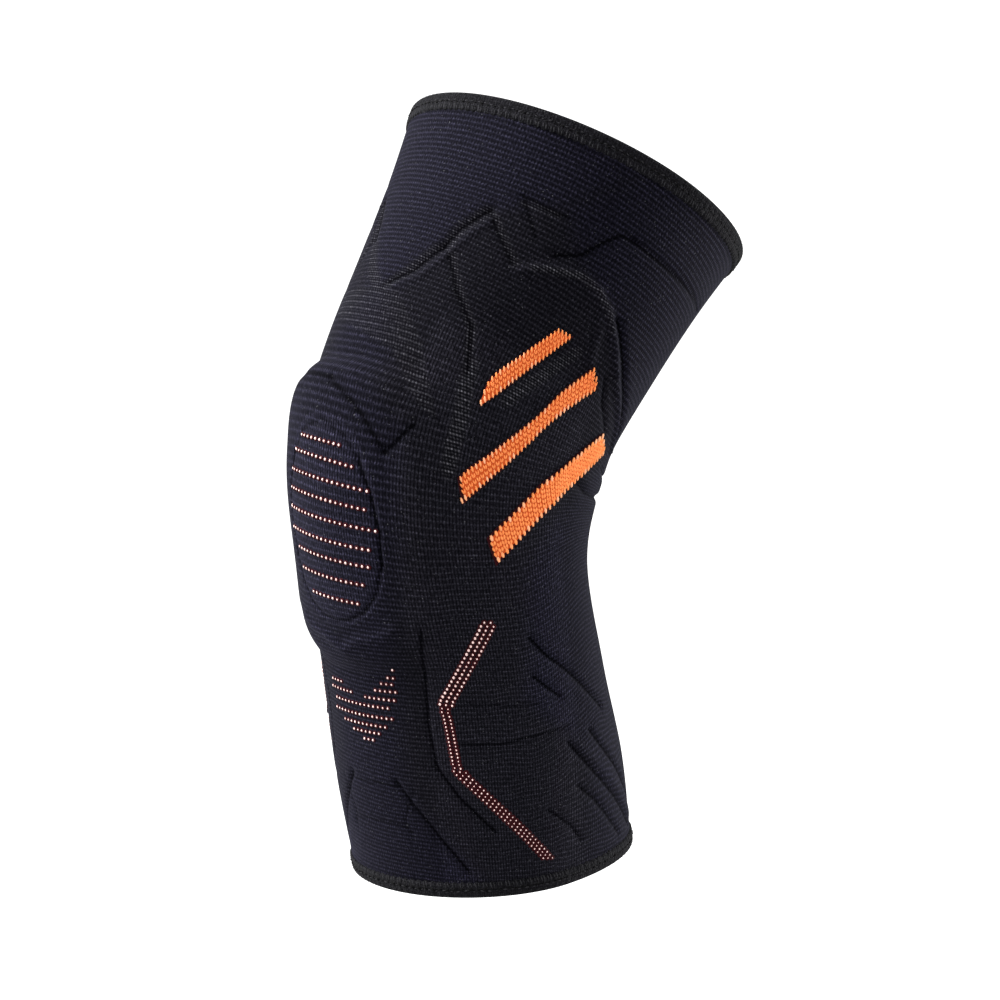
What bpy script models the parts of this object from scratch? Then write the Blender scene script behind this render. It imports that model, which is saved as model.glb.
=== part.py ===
"""A knitted knee sleeve, held in the bent shape that it has on a leg.

The sleeve is a tube around a centreline that bends at the knee. Its frame has +Z up along the shin,
the kneecap facing -Y and the origin on the centreline at the knee. Every piece is worked out from
two numbers that place a point on the knit: "along", the distance from the knee as a share of the
shin (down to -1 at the lower edge) or of the thigh (up to +1 at the upper edge), and "turn", the
angle round the leg from the middle of the front. The right and left sides mirror each other.
"""
import math

import bpy
import numpy as np

# Driving sizes of the leg shape, in metres and degrees
SHIN_LENGTH = 0.155
THIGH_LENGTH = 0.126
SHIN_LEAN = 5.5
THIGH_LEAN = 31.5
BEND_LENGTH = 0.092
LOWER_WIDTH = 0.104
LOWER_DEPTH = 0.112
KNEE_WIDTH = 0.108
KNEE_DEPTH = 0.120
UPPER_WIDTH = 0.136
UPPER_DEPTH = 0.142

# Driving sizes of the knit and of the pieces on it
KNIT_THICKNESS = 0.0020
HEM_THICKNESS = 0.0028
UPPER_HEM_HEIGHT = 0.0070
LOWER_HEM_HEIGHT = 0.0060
FOLD_WIDTH = 0.0038
FOLD_HEIGHT = 0.0014
PAD_TURN = 52.0
PAD_ABOVE_KNEE = 0.024
PAD_BELOW_KNEE = 0.070
PAD_OVAL_TURN = 27.0
PAD_OVAL_ABOVE_KNEE = 0.008
PAD_OVAL_BELOW_KNEE = 0.045
PAD_THICKNESS = 0.0050
PAD_RIM = 0.0007
PAD_GROOVE = 0.0012
BAR_THICKNESS = 0.0009
GAP = 0.0003
# How far the middle of a facet dips below the curve that it spans
FACET_DIP = 0.0002

# How finely the faceted solids are cut
COLUMNS_ROUND = 80
PAD_SPOKES = 36
BAR_STEPS = 8
CENTRELINE_STEPS = 60

# Edges that turn by more than this, in degrees, are shaded sharp
SHARP_EDGE_ANGLE = 50.0
# Rounding of a hem's free edge, as a share of the hem's thickness
HEM_ROUNDING = 0.30
# The pad's rim is a rounded rectangle: 2 would be an ellipse and a large number a sharp one
PAD_SQUARENESS = 4.0
# Rings of the pad: 0 is its middle, 1 the oval groove in its face and 2 its rim
PAD_RINGS = (0.0, 0.30, 0.60, 0.86, 1.0, 1.14, 1.33, 1.52, 1.68, 1.84, 2.0)
# The ring where the pad's face starts to round off to its rim
PAD_SHOULDER_RING = 1.50
# Thickness of the pad as a share of its named thickness, from its lower (-1) to its upper end (1)
PAD_PROFILE = (
    # height, thickness
    (-1.0, 0.66),
    (-0.5, 0.80),
    (0.0, 0.62),
    (0.5, 1.02),
    (0.8, 1.25),
    (1.0, 1.20),
)

# Cross-sections: width and depth as shares of the straight line from the knee's size to the hem's,
# and the share of the depth that lies in front of the centreline
SECTIONS = (
    # along, width, depth, front
    (-1.00, 1.000, 1.000, 0.400),
    (-0.75, 1.060, 0.980, 0.443),
    (-0.50, 1.075, 0.895, 0.498),
    (-0.25, 1.040, 0.880, 0.553),
    (0.00, 1.000, 1.003, 0.550),
    (0.25, 0.980, 0.970, 0.555),
    (0.50, 0.990, 0.955, 0.534),
    (0.75, 1.000, 0.960, 0.508),
    (1.00, 1.000, 1.010, 0.482),
)

# Rows of facets down the outside and the inside of the knit, closest at the bend and on the calf
OUTER_ROWS = (
    # along from, along to, rows
    (-1.0, -0.58, 11),
    (-0.58, -0.30, 4),
    (-0.30, 0.36, 11),
    (0.36, 1.0, 8),
)
INNER_ROWS = (
    # along from, along to, rows
    (-1.0, -0.30, 4),
    (-0.30, 0.36, 7),
    (0.36, 1.0, 3),
)

# Ridges (height above 0) and creases (below 0) of the knit on one side, mirrored to the other.
# Width and height are shares of the fold sizes, and each point is (along, turn in degrees).
FOLDS = (
    # name, width, height, points
    ("side ridge", 1.1, 1.1, ((0.54, 52), (0.58, 66), (0.57, 74), (0.53, 81), (0.44, 92), (0.31, 117))),
    ("side ridge's crease", 1.0, -0.9, ((0.53, 87), (0.47, 93), (0.40, 103), (0.32, 121))),
    ("thigh arc", 1.1, -1.0, ((0.64, 63), (0.73, 69), (0.755, 78), (0.745, 98), (0.75, 126))),
    ("thigh ladder, lower", 1.0, 0.8, ((0.37, 6), (0.42, 14), (0.50, 22), (0.44, 27))),
    ("thigh ladder, upper", 1.0, 0.8, ((0.50, 22), (0.57, 23), (0.65, 29), (0.60, 34), (0.53, 44))),
    ("thigh panel", 1.0, -0.7, ((0.44, 27), (0.39, 31), (0.30, 42))),
    ("calf crease 1", 1.1, -1.0, ((-0.36, 77), (-0.46, 93), (-0.58, 116))),
    ("calf crease 2", 1.0, -0.8, ((-0.45, 75), (-0.52, 88))),
    ("calf crease 3", 1.1, -1.0, ((-0.62, 104), (-0.75, 122), (-0.90, 145))),
    ("calf crease 4", 1.1, -1.0, ((-0.635, 91), (-0.74, 105), (-0.93, 135))),
    ("calf crease 5", 1.1, -1.0, ((-0.74, 93), (-0.93, 121))),
    ("calf crease 6", 1.1, -0.9, ((-0.79, 79), (-0.90, 97))),
    ("shin crease", 1.0, -0.9, ((-0.715, 15), (-0.81, 26), (-0.91, 38))),
    ("side crease", 1.0, -0.8, ((-0.48, 31), (-0.61, 31), (-0.69, 36), (-0.82, 52))),
)

# The orange bars of one side: stations from the front end to the rear end, each with a point on
# the bar's upper edge and one on its lower edge. Turns are counted on from the pad's side edge.
BARS = {
    # along and turn on the upper edge, along and turn on the lower edge
    "upper": (
        (0.155, 2.5, 0.140, 3.0),
        (0.210, 3.0, 0.195, 8.5),
        (0.300, 9.5, 0.295, 15.5),
        (0.410, 16.0, 0.413, 22.0),
    ),
    "middle": (
        (-0.015, 0.8, -0.058, 3.0),
        (0.060, 12.0, 0.000, 13.5),
        (0.160, 22.0, 0.080, 22.0),
        (0.266, 28.0, 0.190, 30.0),
        (0.370, 34.5, 0.325, 40.0),
    ),
    "lower": (
        (-0.120, 11.5, -0.173, 14.0),
        (-0.060, 22.5, -0.120, 24.5),
        (0.012, 33.0, -0.060, 35.0),
        (0.106, 44.0, 0.028, 48.5),
        (0.222, 56.5, 0.171, 64.0),
    ),
}

# Colours (red, green, blue, 1), roughness and metallic value of each finish
FINISHES = {
    "navy knit": ((0.016, 0.016, 0.028, 1.0), 0.85, 0.0),
    "charcoal hem": ((0.017, 0.017, 0.018, 1.0), 0.80, 0.0),
    "orange knit": ((0.870, 0.215, 0.050, 1.0), 0.75, 0.0),
}


def clear_scene():
    """Remove whatever the scene holds, so that the part starts empty."""
    for thing in list(bpy.data.objects):
        bpy.data.objects.remove(thing, do_unlink=True)


def finish(name):
    """Make one finish as a material, or fetch it where it has been made."""
    if name in bpy.data.materials:
        return bpy.data.materials[name]
    colour, roughness, metallic = FINISHES[name]
    material = bpy.data.materials.new(name)
    material.use_nodes = True
    shader = material.node_tree.nodes["Principled BSDF"]
    shader.inputs["Base Color"].default_value = colour
    shader.inputs["Roughness"].default_value = roughness
    shader.inputs["Metallic"].default_value = metallic
    return material


def make_object(name, points, faces, finish_name):
    """Make one smooth-shaded mesh object from its points and faces."""
    mesh = bpy.data.meshes.new(name)
    mesh.from_pydata([tuple(point) for point in points], [], faces)
    mesh.shade_smooth()
    mesh.set_sharp_from_angle(angle=math.radians(SHARP_EDGE_ANGLE))
    mesh.materials.append(finish(finish_name))
    piece = bpy.data.objects.new(name, mesh)
    bpy.context.scene.collection.objects.link(piece)
    return piece


def smooth_step(share):
    """Rise from 0 to 1 with a level start and end."""
    share = np.clip(share, 0.0, 1.0)
    return share * share * (3.0 - 2.0 * share)


def smooth_reading(stations, values, at):
    """Read a smooth curve through a table's values, with the slope of its neighbours at each."""
    stations = np.asarray(stations, float)
    values = np.asarray(values, float)
    slopes = np.gradient(values, stations)
    low = np.clip(np.searchsorted(stations, at) - 1, 0, len(stations) - 2)
    span = stations[low + 1] - stations[low]
    share = (at - stations[low]) / span
    rest = 1.0 - share
    return (
        values[low] * (1.0 + 2.0 * share) * rest**2
        + values[low + 1] * (1.0 + 2.0 * rest) * share**2
        + span * share * rest * (slopes[low] * rest - slopes[low + 1] * share)
    )


def distance_of(along):
    """Distance up the centreline from the knee of a share of the shin or of the thigh."""
    along = np.asarray(along, float)
    return np.where(along < 0.0, along * SHIN_LENGTH, along * THIGH_LENGTH)


def along_of(distance):
    """The share of the shin or of the thigh that a distance up the centreline is."""
    distance = np.asarray(distance, float)
    return np.where(distance < 0.0, distance / SHIN_LENGTH, distance / THIGH_LENGTH)


def lean_at(distance):
    """How far the centreline leans back there, in radians, turning evenly through the bend."""
    share = smooth_step(distance / BEND_LENGTH + 0.5)
    return np.radians(-SHIN_LEAN + (SHIN_LEAN + THIGH_LEAN) * share)


def centre_at(distance):
    """The centreline's y and z, added up from the knee in short steps."""
    shares = (np.arange(CENTRELINE_STEPS) + 0.5) / CENTRELINE_STEPS
    leans = lean_at(np.asarray(distance)[..., None] * shares)
    return distance * np.sin(leans).mean(axis=-1), distance * np.cos(leans).mean(axis=-1)


def section_at(along):
    """Half the width, the reach to the front and the reach to the back of the cross-section."""
    stations, widths, depths, fronts = zip(*SECTIONS)
    share = np.abs(along)
    below = along < 0.0
    width = KNEE_WIDTH + share * (np.where(below, LOWER_WIDTH, UPPER_WIDTH) - KNEE_WIDTH)
    depth = KNEE_DEPTH + share * (np.where(below, LOWER_DEPTH, UPPER_DEPTH) - KNEE_DEPTH)
    width = width * smooth_reading(stations, widths, along)
    depth = depth * smooth_reading(stations, depths, along)
    front = smooth_reading(stations, fronts, along)
    return width / 2.0, depth * front, depth * (1.0 - front)


def on_knit(along, turn, lift):
    """Points at this share along and turn (degrees), lifted off the plain outer face."""
    half_width, front, back = section_at(along)
    angle = np.radians(turn)
    side = (half_width + lift) * np.sin(angle)
    reach = (np.where(np.cos(angle) > 0.0, front, back) + lift) * np.cos(angle)
    distance = distance_of(along)
    lean = lean_at(distance)
    centre_y, centre_z = centre_at(distance)
    return np.stack([side, centre_y - reach * np.cos(lean), centre_z + reach * np.sin(lean)], axis=-1)


def flat_place(along, turn):
    """Place on the knit laid out flat: metres round from the front and metres up from the knee."""
    mean_radius = (KNEE_WIDTH + KNEE_DEPTH) / 4.0
    return np.stack([np.abs(np.radians(turn)) * mean_radius, distance_of(along)], axis=-1)


def distance_to_line(places, line):
    """Shortest distance from each flat place to a line of flat points."""
    nearest = np.full(places.shape[:-1], np.inf)
    for start, end in zip(line[:-1], line[1:]):
        run = end - start
        share = np.clip(((places - start) @ run) / (run @ run), 0.0, 1.0)
        nearest = np.minimum(nearest, np.linalg.norm(places - start - share[..., None] * run, axis=-1))
    return nearest


def fold_lift(along, turn):
    """Height of all the ridges and creases there: each is a smooth wave across its line."""
    places = flat_place(along, turn)
    lift = np.zeros(places.shape[:-1])
    for _, width, height, points in FOLDS:
        line = flat_place(*np.array(points, float).T)
        across = distance_to_line(places, line) / (width * FOLD_WIDTH)
        lift += height * FOLD_HEIGHT * np.exp(-(across**2))
    return lift


def row_stations(table, lowest, highest):
    """The along value of each ring of a grid, as the row table says, between two edges."""
    shares = [np.linspace(start, end, rows, endpoint=False) for start, end, rows in table]
    shares = np.append(np.concatenate(shares), table[-1][1])
    return np.where(shares < 0.0, shares * -lowest, shares * highest)


def full_turn():
    """The turn of each column of facets round the leg, in degrees."""
    return np.arange(COLUMNS_ROUND) * 360.0 / COLUMNS_ROUND - 180.0


def closed_tube(name, rings, finish_name):
    """Join rings of points, each to the next and the last to the first, into a hollow closed body."""
    count = len(rings[0])
    total = len(rings)
    faces = []
    for ring in range(total):
        here = ring * count
        above = (ring + 1) % total * count
        for column in range(count):
            beside = (column + 1) % count
            faces.append((here + column, here + beside, above + beside, above + column))
    return make_object(name, np.concatenate(rings), faces, finish_name)


def hem_edge(height, length):
    """The along value where the knit meets a hem of this height, on a limb of this length."""
    return 1.0 - (height + GAP) / length


def knit_sleeve():
    """The knitted tube, from hem to hem: outside up, over the edge and back down the inside."""
    lowest = -hem_edge(LOWER_HEM_HEIGHT, SHIN_LENGTH)
    highest = hem_edge(UPPER_HEM_HEIGHT, THIGH_LENGTH)
    turns = full_turn()
    rings = []
    for along in row_stations(OUTER_ROWS, lowest, highest):
        stations = np.full(COLUMNS_ROUND, along)
        rings.append(on_knit(stations, turns, fold_lift(stations, turns)))
    for along in row_stations(INNER_ROWS, lowest, highest)[::-1]:
        rings.append(on_knit(np.full(COLUMNS_ROUND, along), turns, -KNIT_THICKNESS))
    return closed_tube("knit_sleeve", rings, "navy knit")


def hem_band(name, edge, length, height):
    """A folded hem as a ring with a rounded free edge. Edge is -1 or +1, the hem's end of the sleeve."""
    outside = HEM_THICKNESS - KNIT_THICKNESS
    corner = HEM_THICKNESS * HEM_ROUNDING
    # Down from the free edge, and out from the knit's plain outer face
    profile = (
        (height, -KNIT_THICKNESS),
        (height, outside),
        (corner, outside),
        (0.0, outside - corner),
        (0.0, corner - KNIT_THICKNESS),
        (corner, -KNIT_THICKNESS),
    )
    turns = full_turn()
    rings = []
    for drop, lift in profile[::edge]:
        along = np.full(COLUMNS_ROUND, edge * (1.0 - drop / length))
        rings.append(on_knit(along, turns, lift))
    return closed_tube(name, rings, "charcoal hem")


def pad_ring(ring, face):
    """Points round one ring of the pad, on its outer face or, where face is False, its inner face."""
    angle = 2.0 * np.pi * np.arange(PAD_SPOKES) / PAD_SPOKES
    across = np.cos(angle)
    upward = np.sin(angle)
    squared = np.abs(across) ** PAD_SQUARENESS + np.abs(upward) ** PAD_SQUARENESS
    corner = squared ** (-1.0 / PAD_SQUARENESS)
    inner = min(ring, 1.0)
    outer = max(ring - 1.0, 0.0)
    oval_middle = (PAD_OVAL_ABOVE_KNEE - PAD_OVAL_BELOW_KNEE) / 2.0
    oval_half = (PAD_OVAL_ABOVE_KNEE + PAD_OVAL_BELOW_KNEE) / 2.0
    rim_middle = (PAD_ABOVE_KNEE - PAD_BELOW_KNEE) / 2.0
    rim_half = (PAD_ABOVE_KNEE + PAD_BELOW_KNEE) / 2.0
    distance = (1.0 - outer) * (oval_middle + oval_half * inner * upward)
    distance += outer * (rim_middle + rim_half * corner * upward)
    turn = (1.0 - outer) * PAD_OVAL_TURN * inner * across + outer * PAD_TURN * corner * across
    lift = GAP + FACET_DIP
    if face:
        heights, thicknesses = zip(*PAD_PROFILE)
        full = PAD_THICKNESS * smooth_reading(heights, thicknesses, (distance - rim_middle) / rim_half)
        shoulder = smooth_step((2.0 - ring) / (2.0 - PAD_SHOULDER_RING))
        groove = PAD_GROOVE if ring == 1.0 else 0.0
        lift = lift + PAD_RIM + (full - PAD_RIM) * shoulder - groove
    return on_knit(along_of(distance), turn, lift)


def kneecap_pad():
    """The raised shield over the kneecap: two faces of rings round a middle point, and a rim."""
    rings = [pad_ring(ring, True) for ring in PAD_RINGS[1:]]
    rings += [pad_ring(ring, False) for ring in PAD_RINGS[:0:-1]]
    middles = [pad_ring(0.0, True)[:1], pad_ring(0.0, False)[:1]]
    points = np.concatenate(rings + middles)
    outer_middle = len(points) - 2
    inner_middle = len(points) - 1
    last_ring = (len(rings) - 1) * PAD_SPOKES
    faces = []
    for spoke in range(PAD_SPOKES):
        beside = (spoke + 1) % PAD_SPOKES
        faces.append((outer_middle, spoke, beside))
        faces.append((inner_middle, last_ring + beside, last_ring + spoke))
        for ring in range(len(rings) - 1):
            here = ring * PAD_SPOKES
            outward = here + PAD_SPOKES
            faces.append((here + beside, here + spoke, outward + spoke, outward + beside))
    return make_object("kneecap_pad", points, faces, "navy knit")


def side_bar(name, stations, side):
    """One raised bar between its upper and lower edge, on the right (+1) or the left (-1)."""
    table = np.array(stations, float).T
    marks = np.linspace(0.0, 1.0, table.shape[1])
    shares = np.linspace(0.0, 1.0, BAR_STEPS)
    top_along, top_turn, low_along, low_turn = (smooth_reading(marks, row, shares) for row in table)
    top_turn = top_turn + PAD_TURN
    low_turn = low_turn + PAD_TURN
    middle_along = (top_along + low_along) / 2.0
    middle_turn = (top_turn + low_turn) / 2.0
    seat = GAP + FACET_DIP
    face = seat + BAR_THICKNESS
    rings = []
    for along, turn, lift in (
        (top_along, top_turn, seat),
        (top_along, top_turn, face),
        (middle_along, middle_turn, face),
        (low_along, low_turn, face),
        (low_along, low_turn, seat),
        (middle_along, middle_turn, seat),
    ):
        rings.append(on_knit(along, side * turn, lift + fold_lift(along, turn)))
    points = np.stack(rings, axis=1).reshape(-1, 3)
    count = len(rings)
    faces = []
    for step in range(BAR_STEPS - 1):
        here = step * count
        ahead = here + count
        for corner in range(count):
            beside = (corner + 1) % count
            faces.append((here + beside, ahead + beside, ahead + corner, here + corner))
    last = (BAR_STEPS - 1) * count
    faces.append(tuple(range(count - 1, -1, -1)))
    faces.append(tuple(range(last, last + count)))
    if side < 0:
        faces = [face[::-1] for face in faces]
    return make_object(name, points, faces, "orange knit")


def main():
    clear_scene()
    knit_sleeve()
    hem_band("upper_hem_band", 1, THIGH_LENGTH, UPPER_HEM_HEIGHT)
    hem_band("lower_hem_band", -1, SHIN_LENGTH, LOWER_HEM_HEIGHT)
    kneecap_pad()
    for place, stations in BARS.items():
        side_bar(f"side_bar_{place}_right", stations, 1)
        side_bar(f"side_bar_{place}_left", stations, -1)


main()
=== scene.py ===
# %% [markdown]
# # A knitted knee sleeve
#
# This lesson dresses a plain solid of a knee sleeve as the real thing: a seamless tube of elastic
# yarn, knitted in one go, with a cushioned shield over the kneecap, orange bars on both sides, rows
# of small dots and a sewn hem at each end. The solid model is loaded first and never changed. Every
# piece made here stands for one of its pieces and stays where that piece is.

# %% Load the fixed frame
import math

import bpy
import numpy as np
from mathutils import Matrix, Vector


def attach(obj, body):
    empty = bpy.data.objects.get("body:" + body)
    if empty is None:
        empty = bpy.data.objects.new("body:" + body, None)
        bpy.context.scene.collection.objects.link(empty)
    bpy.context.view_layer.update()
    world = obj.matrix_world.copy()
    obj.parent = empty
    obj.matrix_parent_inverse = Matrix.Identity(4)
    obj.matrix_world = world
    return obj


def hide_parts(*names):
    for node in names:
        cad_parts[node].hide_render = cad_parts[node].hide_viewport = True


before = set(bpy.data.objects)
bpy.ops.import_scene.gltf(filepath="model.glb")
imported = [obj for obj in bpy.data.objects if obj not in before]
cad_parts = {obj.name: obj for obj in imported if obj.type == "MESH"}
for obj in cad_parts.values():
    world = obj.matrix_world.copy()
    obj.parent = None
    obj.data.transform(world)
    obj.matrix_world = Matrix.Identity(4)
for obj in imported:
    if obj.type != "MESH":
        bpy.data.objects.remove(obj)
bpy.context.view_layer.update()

# %% [markdown]
# ## The shape of the leg
#
# A sleeve has no shape of its own until it is worn, so its shape is that of a bent leg: a tube round
# a line that bends at the knee. It could be sculpted, but a tube follows a rule, so it is worked out
# from a short table of cross-sections. Two numbers then name any place on the knit. "Along" runs
# from -1 at the lower edge over 0 at the knee to +1 at the upper edge, and "turn" is the angle round
# the leg from the middle of the front, in degrees. The kneecap faces -Y and +Z points up the shin.

# %% Sizes of the leg shape
SHIN_LENGTH = 0.155
THIGH_LENGTH = 0.126
SHIN_LEAN = 5.5
THIGH_LEAN = 31.5
BEND_LENGTH = 0.092
LOWER_WIDTH, LOWER_DEPTH = 0.104, 0.112
KNEE_WIDTH, KNEE_DEPTH = 0.108, 0.120
UPPER_WIDTH, UPPER_DEPTH = 0.136, 0.142
MEAN_RADIUS = (KNEE_WIDTH + KNEE_DEPTH) / 4.0
SECTIONS = (
    # along, width and depth as shares of the straight taper, share of the depth in front
    (-1.00, 1.000, 1.000, 0.400),
    (-0.75, 1.060, 0.980, 0.443),
    (-0.50, 1.075, 0.895, 0.498),
    (-0.25, 1.040, 0.880, 0.553),
    (0.00, 1.000, 1.003, 0.550),
    (0.25, 0.980, 0.970, 0.555),
    (0.50, 0.990, 0.955, 0.534),
    (0.75, 1.000, 0.960, 0.508),
    (1.00, 1.000, 1.010, 0.482),
)
print("length along the bend:", round(1000 * (SHIN_LENGTH + THIGH_LENGTH)), "mm")

# %% Place any point of the knit


def smooth_step(share):
    """Rise from 0 to 1 with a level start and end."""
    share = np.clip(share, 0.0, 1.0)
    return share * share * (3.0 - 2.0 * share)


def smooth_reading(stations, values, at):
    """Read a smooth curve through a table's values."""
    stations, values = np.asarray(stations, float), np.asarray(values, float)
    slopes = np.gradient(values, stations)
    low = np.clip(np.searchsorted(stations, at) - 1, 0, len(stations) - 2)
    span = stations[low + 1] - stations[low]
    share = (at - stations[low]) / span
    rest = 1.0 - share
    ends = values[low] * (1.0 + 2.0 * share) * rest**2 + values[low + 1] * (1.0 + 2.0 * rest) * share**2
    return ends + span * share * rest * (slopes[low] * rest - slopes[low + 1] * share)


def distance_of(along):
    """Distance up the centreline from the knee, in metres."""
    along = np.asarray(along, float)
    return np.where(along < 0.0, along * SHIN_LENGTH, along * THIGH_LENGTH)


def along_of(distance):
    distance = np.asarray(distance, float)
    return np.where(distance < 0.0, distance / SHIN_LENGTH, distance / THIGH_LENGTH)


def lean_at(distance):
    """How far the centreline leans back, in radians, turning evenly through the bend."""
    return np.radians(-SHIN_LEAN + (SHIN_LEAN + THIGH_LEAN) * smooth_step(distance / BEND_LENGTH + 0.5))


def on_knit(along, turn, lift):
    """Points on the knit, lifted off its plain outer face."""
    along, turn, lift = np.broadcast_arrays(*(np.asarray(value, float) for value in (along, turn, lift)))
    stations, widths, depths, fronts = zip(*SECTIONS)
    share, below = np.abs(along), along < 0.0
    width = KNEE_WIDTH + share * (np.where(below, LOWER_WIDTH, UPPER_WIDTH) - KNEE_WIDTH)
    depth = KNEE_DEPTH + share * (np.where(below, LOWER_DEPTH, UPPER_DEPTH) - KNEE_DEPTH)
    width = width * smooth_reading(stations, widths, along)
    depth = depth * smooth_reading(stations, depths, along)
    front = smooth_reading(stations, fronts, along)
    angle = np.radians(turn)
    side = (width / 2.0 + lift) * np.sin(angle)
    reach = (depth * np.where(np.cos(angle) > 0.0, front, 1.0 - front) + lift) * np.cos(angle)
    distance = distance_of(along)
    steps = (np.arange(60) + 0.5) / 60
    leans = lean_at(distance[..., None] * steps)
    lean = lean_at(distance)
    centre_y = distance * np.sin(leans).mean(axis=-1)
    centre_z = distance * np.cos(leans).mean(axis=-1)
    return np.stack([side, centre_y - reach * np.cos(lean), centre_z + reach * np.sin(lean)], axis=-1)


print("middle of the kneecap:", np.round(on_knit(0.0, 0.0, 0.0), 4))

# %% [markdown]
# ## Ridges and creases
#
# The machine changes its stitch along certain lines, and there the cloth stands up in a ridge or
# sinks in a crease. They could be painted as bumps only, but then they would vanish from the
# outline and from the mesh. So each is a line in a table, with the width and height of a smooth wave
# across it, and every knitted surface of this lesson adds the same waves. A line counts for both
# sides of the leg unless its row says that it lies on one side. The bottom of a crease is finer than
# the mesh, so each vertex also keeps its distance from the nearest one, for the material to draw
# as a thin line of painted shade.

# %% Lines of the relief
RELIEF = (
    # name, sides, width mm, height mm, points (along, turn)
    ("ladder crease, first", 1, 2.0, -0.9, ((0.36, 3), (0.413, 12), (0.506, 19))),
    ("ladder lip, first", 1, 1.2, 0.6, ((0.35, 7), (0.40, 16), (0.495, 22.5))),
    ("ladder crease, second", 2, 2.0, -0.9, ((0.506, 19), (0.575, 22), (0.66, 29))),
    ("ladder lip, second", 2, 1.2, 0.6, ((0.495, 22.5), (0.565, 26), (0.645, 32))),
    ("ladder descent, first", 2, 1.5, -0.5, ((0.49, 22), (0.44, 27), (0.39, 31), (0.305, 42), (0.2, 47))),
    ("ladder descent, second", 2, 1.5, -0.5, ((0.654, 29), (0.604, 34), (0.551, 41), (0.528, 44))),
    ("third peak", 2, 1.4, -0.4, ((0.628, 47), (0.667, 43), (0.73, 37), (0.717, 50), (0.724, 54))),
    ("oval ridge", 2, 1.5, 1.2, ((0.52, 48), (0.547, 52), (0.569, 59), (0.583, 67), (0.571, 74))),
    ("oval ridge, rear", 2, 1.4, 1.3, ((0.571, 74), (0.537, 81), (0.496, 86), (0.445, 92), (0.39, 98))),
    ("oval ridge, end", 2, 1.4, 1.1, ((0.39, 98), (0.343, 107), (0.29, 117), (0.2, 127))),
    ("oval crease", 2, 1.5, -1.2, ((0.53, 86), (0.469, 94), (0.394, 105), (0.3, 124), (0.2, 133))),
    ("oval branch", 2, 1.3, 0.8, ((0.50, 80), (0.476, 82), (0.423, 83), (0.376, 85))),
    ("oval branch, lower", 2, 1.4, -0.7, ((0.36, 94), (0.30, 99), (0.238, 110))),
    ("thigh arc", 2, 1.6, -0.8, ((0.60, 55), (0.638, 63), (0.707, 68), (0.748, 72), (0.756, 77))),
    ("thigh arc, rear", 2, 1.6, -0.8, ((0.756, 77), (0.748, 85), (0.746, 107), (0.752, 130))),
    ("knee hollow crease", 2, 2.2, -1.3, ((0.03, 103), (0.0, 112), (-0.01, 126), (0.0, 145))),
    ("knee hollow crease, upper", 2, 1.8, -0.8, ((0.12, 122), (0.10, 135), (0.10, 160))),
    ("kneecap oval, top", 2, 1.1, -0.3, ((0.048, 0), (0.029, 10.7), (-0.009, 18.0))),
    ("kneecap oval, side", 2, 1.1, -0.7, ((-0.009, 18.0), (-0.056, 23.0), (-0.111, 25.3), (-0.168, 24.5))),
    ("kneecap oval, foot", 2, 1.1, -0.5,
     ((-0.168, 24.5), (-0.219, 20.8), (-0.259, 14.6), (-0.283, 6.6), (-0.289, 0))),
    ("kneecap brow", 1, 1.2, -0.6,
     ((0.118, 0), (0.105, 5), (0.085, 12), (0.062, 18), (0.035, 23), (0.008, 27.5))),
    ("kneecap brow, tip", 1, 1.2, -0.7, ((0.008, 27.5), (0.030, 31), (0.070, 36))),
    ("kneecap brow, left", 1, 1.2, -0.5, ((0.118, 0), (0.125, -12), (0.128, -30))),
    ("pad foot", 2, 2.0, 0.9, ((-0.365, 0), (-0.332, 10), (-0.323, 18), (-0.306, 24))),
    ("calf crease, first", 2, 1.4, -1.0, ((-0.355, 76), (-0.402, 82), (-0.456, 93), (-0.582, 116))),
    ("calf crease, second", 2, 1.3, -0.8, ((-0.448, 75), (-0.481, 81), (-0.516, 88))),
    ("calf crease, third", 2, 1.3, -1.0, ((-0.623, 104), (-0.669, 110), (-0.748, 122), (-0.892, 142))),
    ("calf crease, fourth", 2, 1.3, -1.0, ((-0.635, 91), (-0.673, 96), (-0.737, 105), (-0.929, 135))),
    ("calf crease, fifth", 2, 1.3, -0.9, ((-0.753, 95), (-0.806, 104), (-0.927, 121))),
    ("calf crease, sixth", 2, 1.4, -0.7, ((-0.794, 79), (-0.847, 91), (-0.894, 96))),
    ("calf welt", 2, 3.0, 0.5, ((-0.66, 98), (-0.78, 118), (-0.91, 138))),
    ("side wrinkle", 2, 1.1, -0.4, ((-0.60, 43), (-0.606, 59), (-0.598, 71), (-0.592, 92))),
    ("side wrinkle, lip", 2, 1.0, 0.5, ((-0.588, 43), (-0.594, 59), (-0.586, 71), (-0.58, 92))),
    ("side wrinkle, upper", 2, 1.4, -0.2, ((-0.498, 46), (-0.521, 77))),
    ("shin crease", 2, 1.3, -0.9, ((-0.70, 13), (-0.76, 20), (-0.806, 26), (-0.858, 32), (-0.93, 41))),
    ("shin fold", 2, 1.1, -0.3, ((-0.712, 0), (-0.716, 15))),
    ("shin fold, lower", 2, 1.1, -0.3, ((-0.812, 0), (-0.815, 12), (-0.83, 18))),
    ("shin dart", 2, 1.1, -0.25, ((-0.72, 21), (-0.80, 15), (-0.85, 17))),
    ("side crease, upper", 2, 1.3, -0.7, ((-0.30, 35), (-0.395, 32), (-0.545, 30), (-0.66, 32))),
    ("side crease, lower", 2, 1.3, -0.8, ((-0.66, 32), (-0.694, 36), (-0.735, 40), (-0.83, 54))),
)
# Millimetres from a crease: where it no longer counts, where it starts to fade, and how softly
CREASE_LIMIT, CREASE_REACH, CREASE_FADE = 3.0, 1.4, 0.8
SHARPEST_CREASE = 1.1


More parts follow.
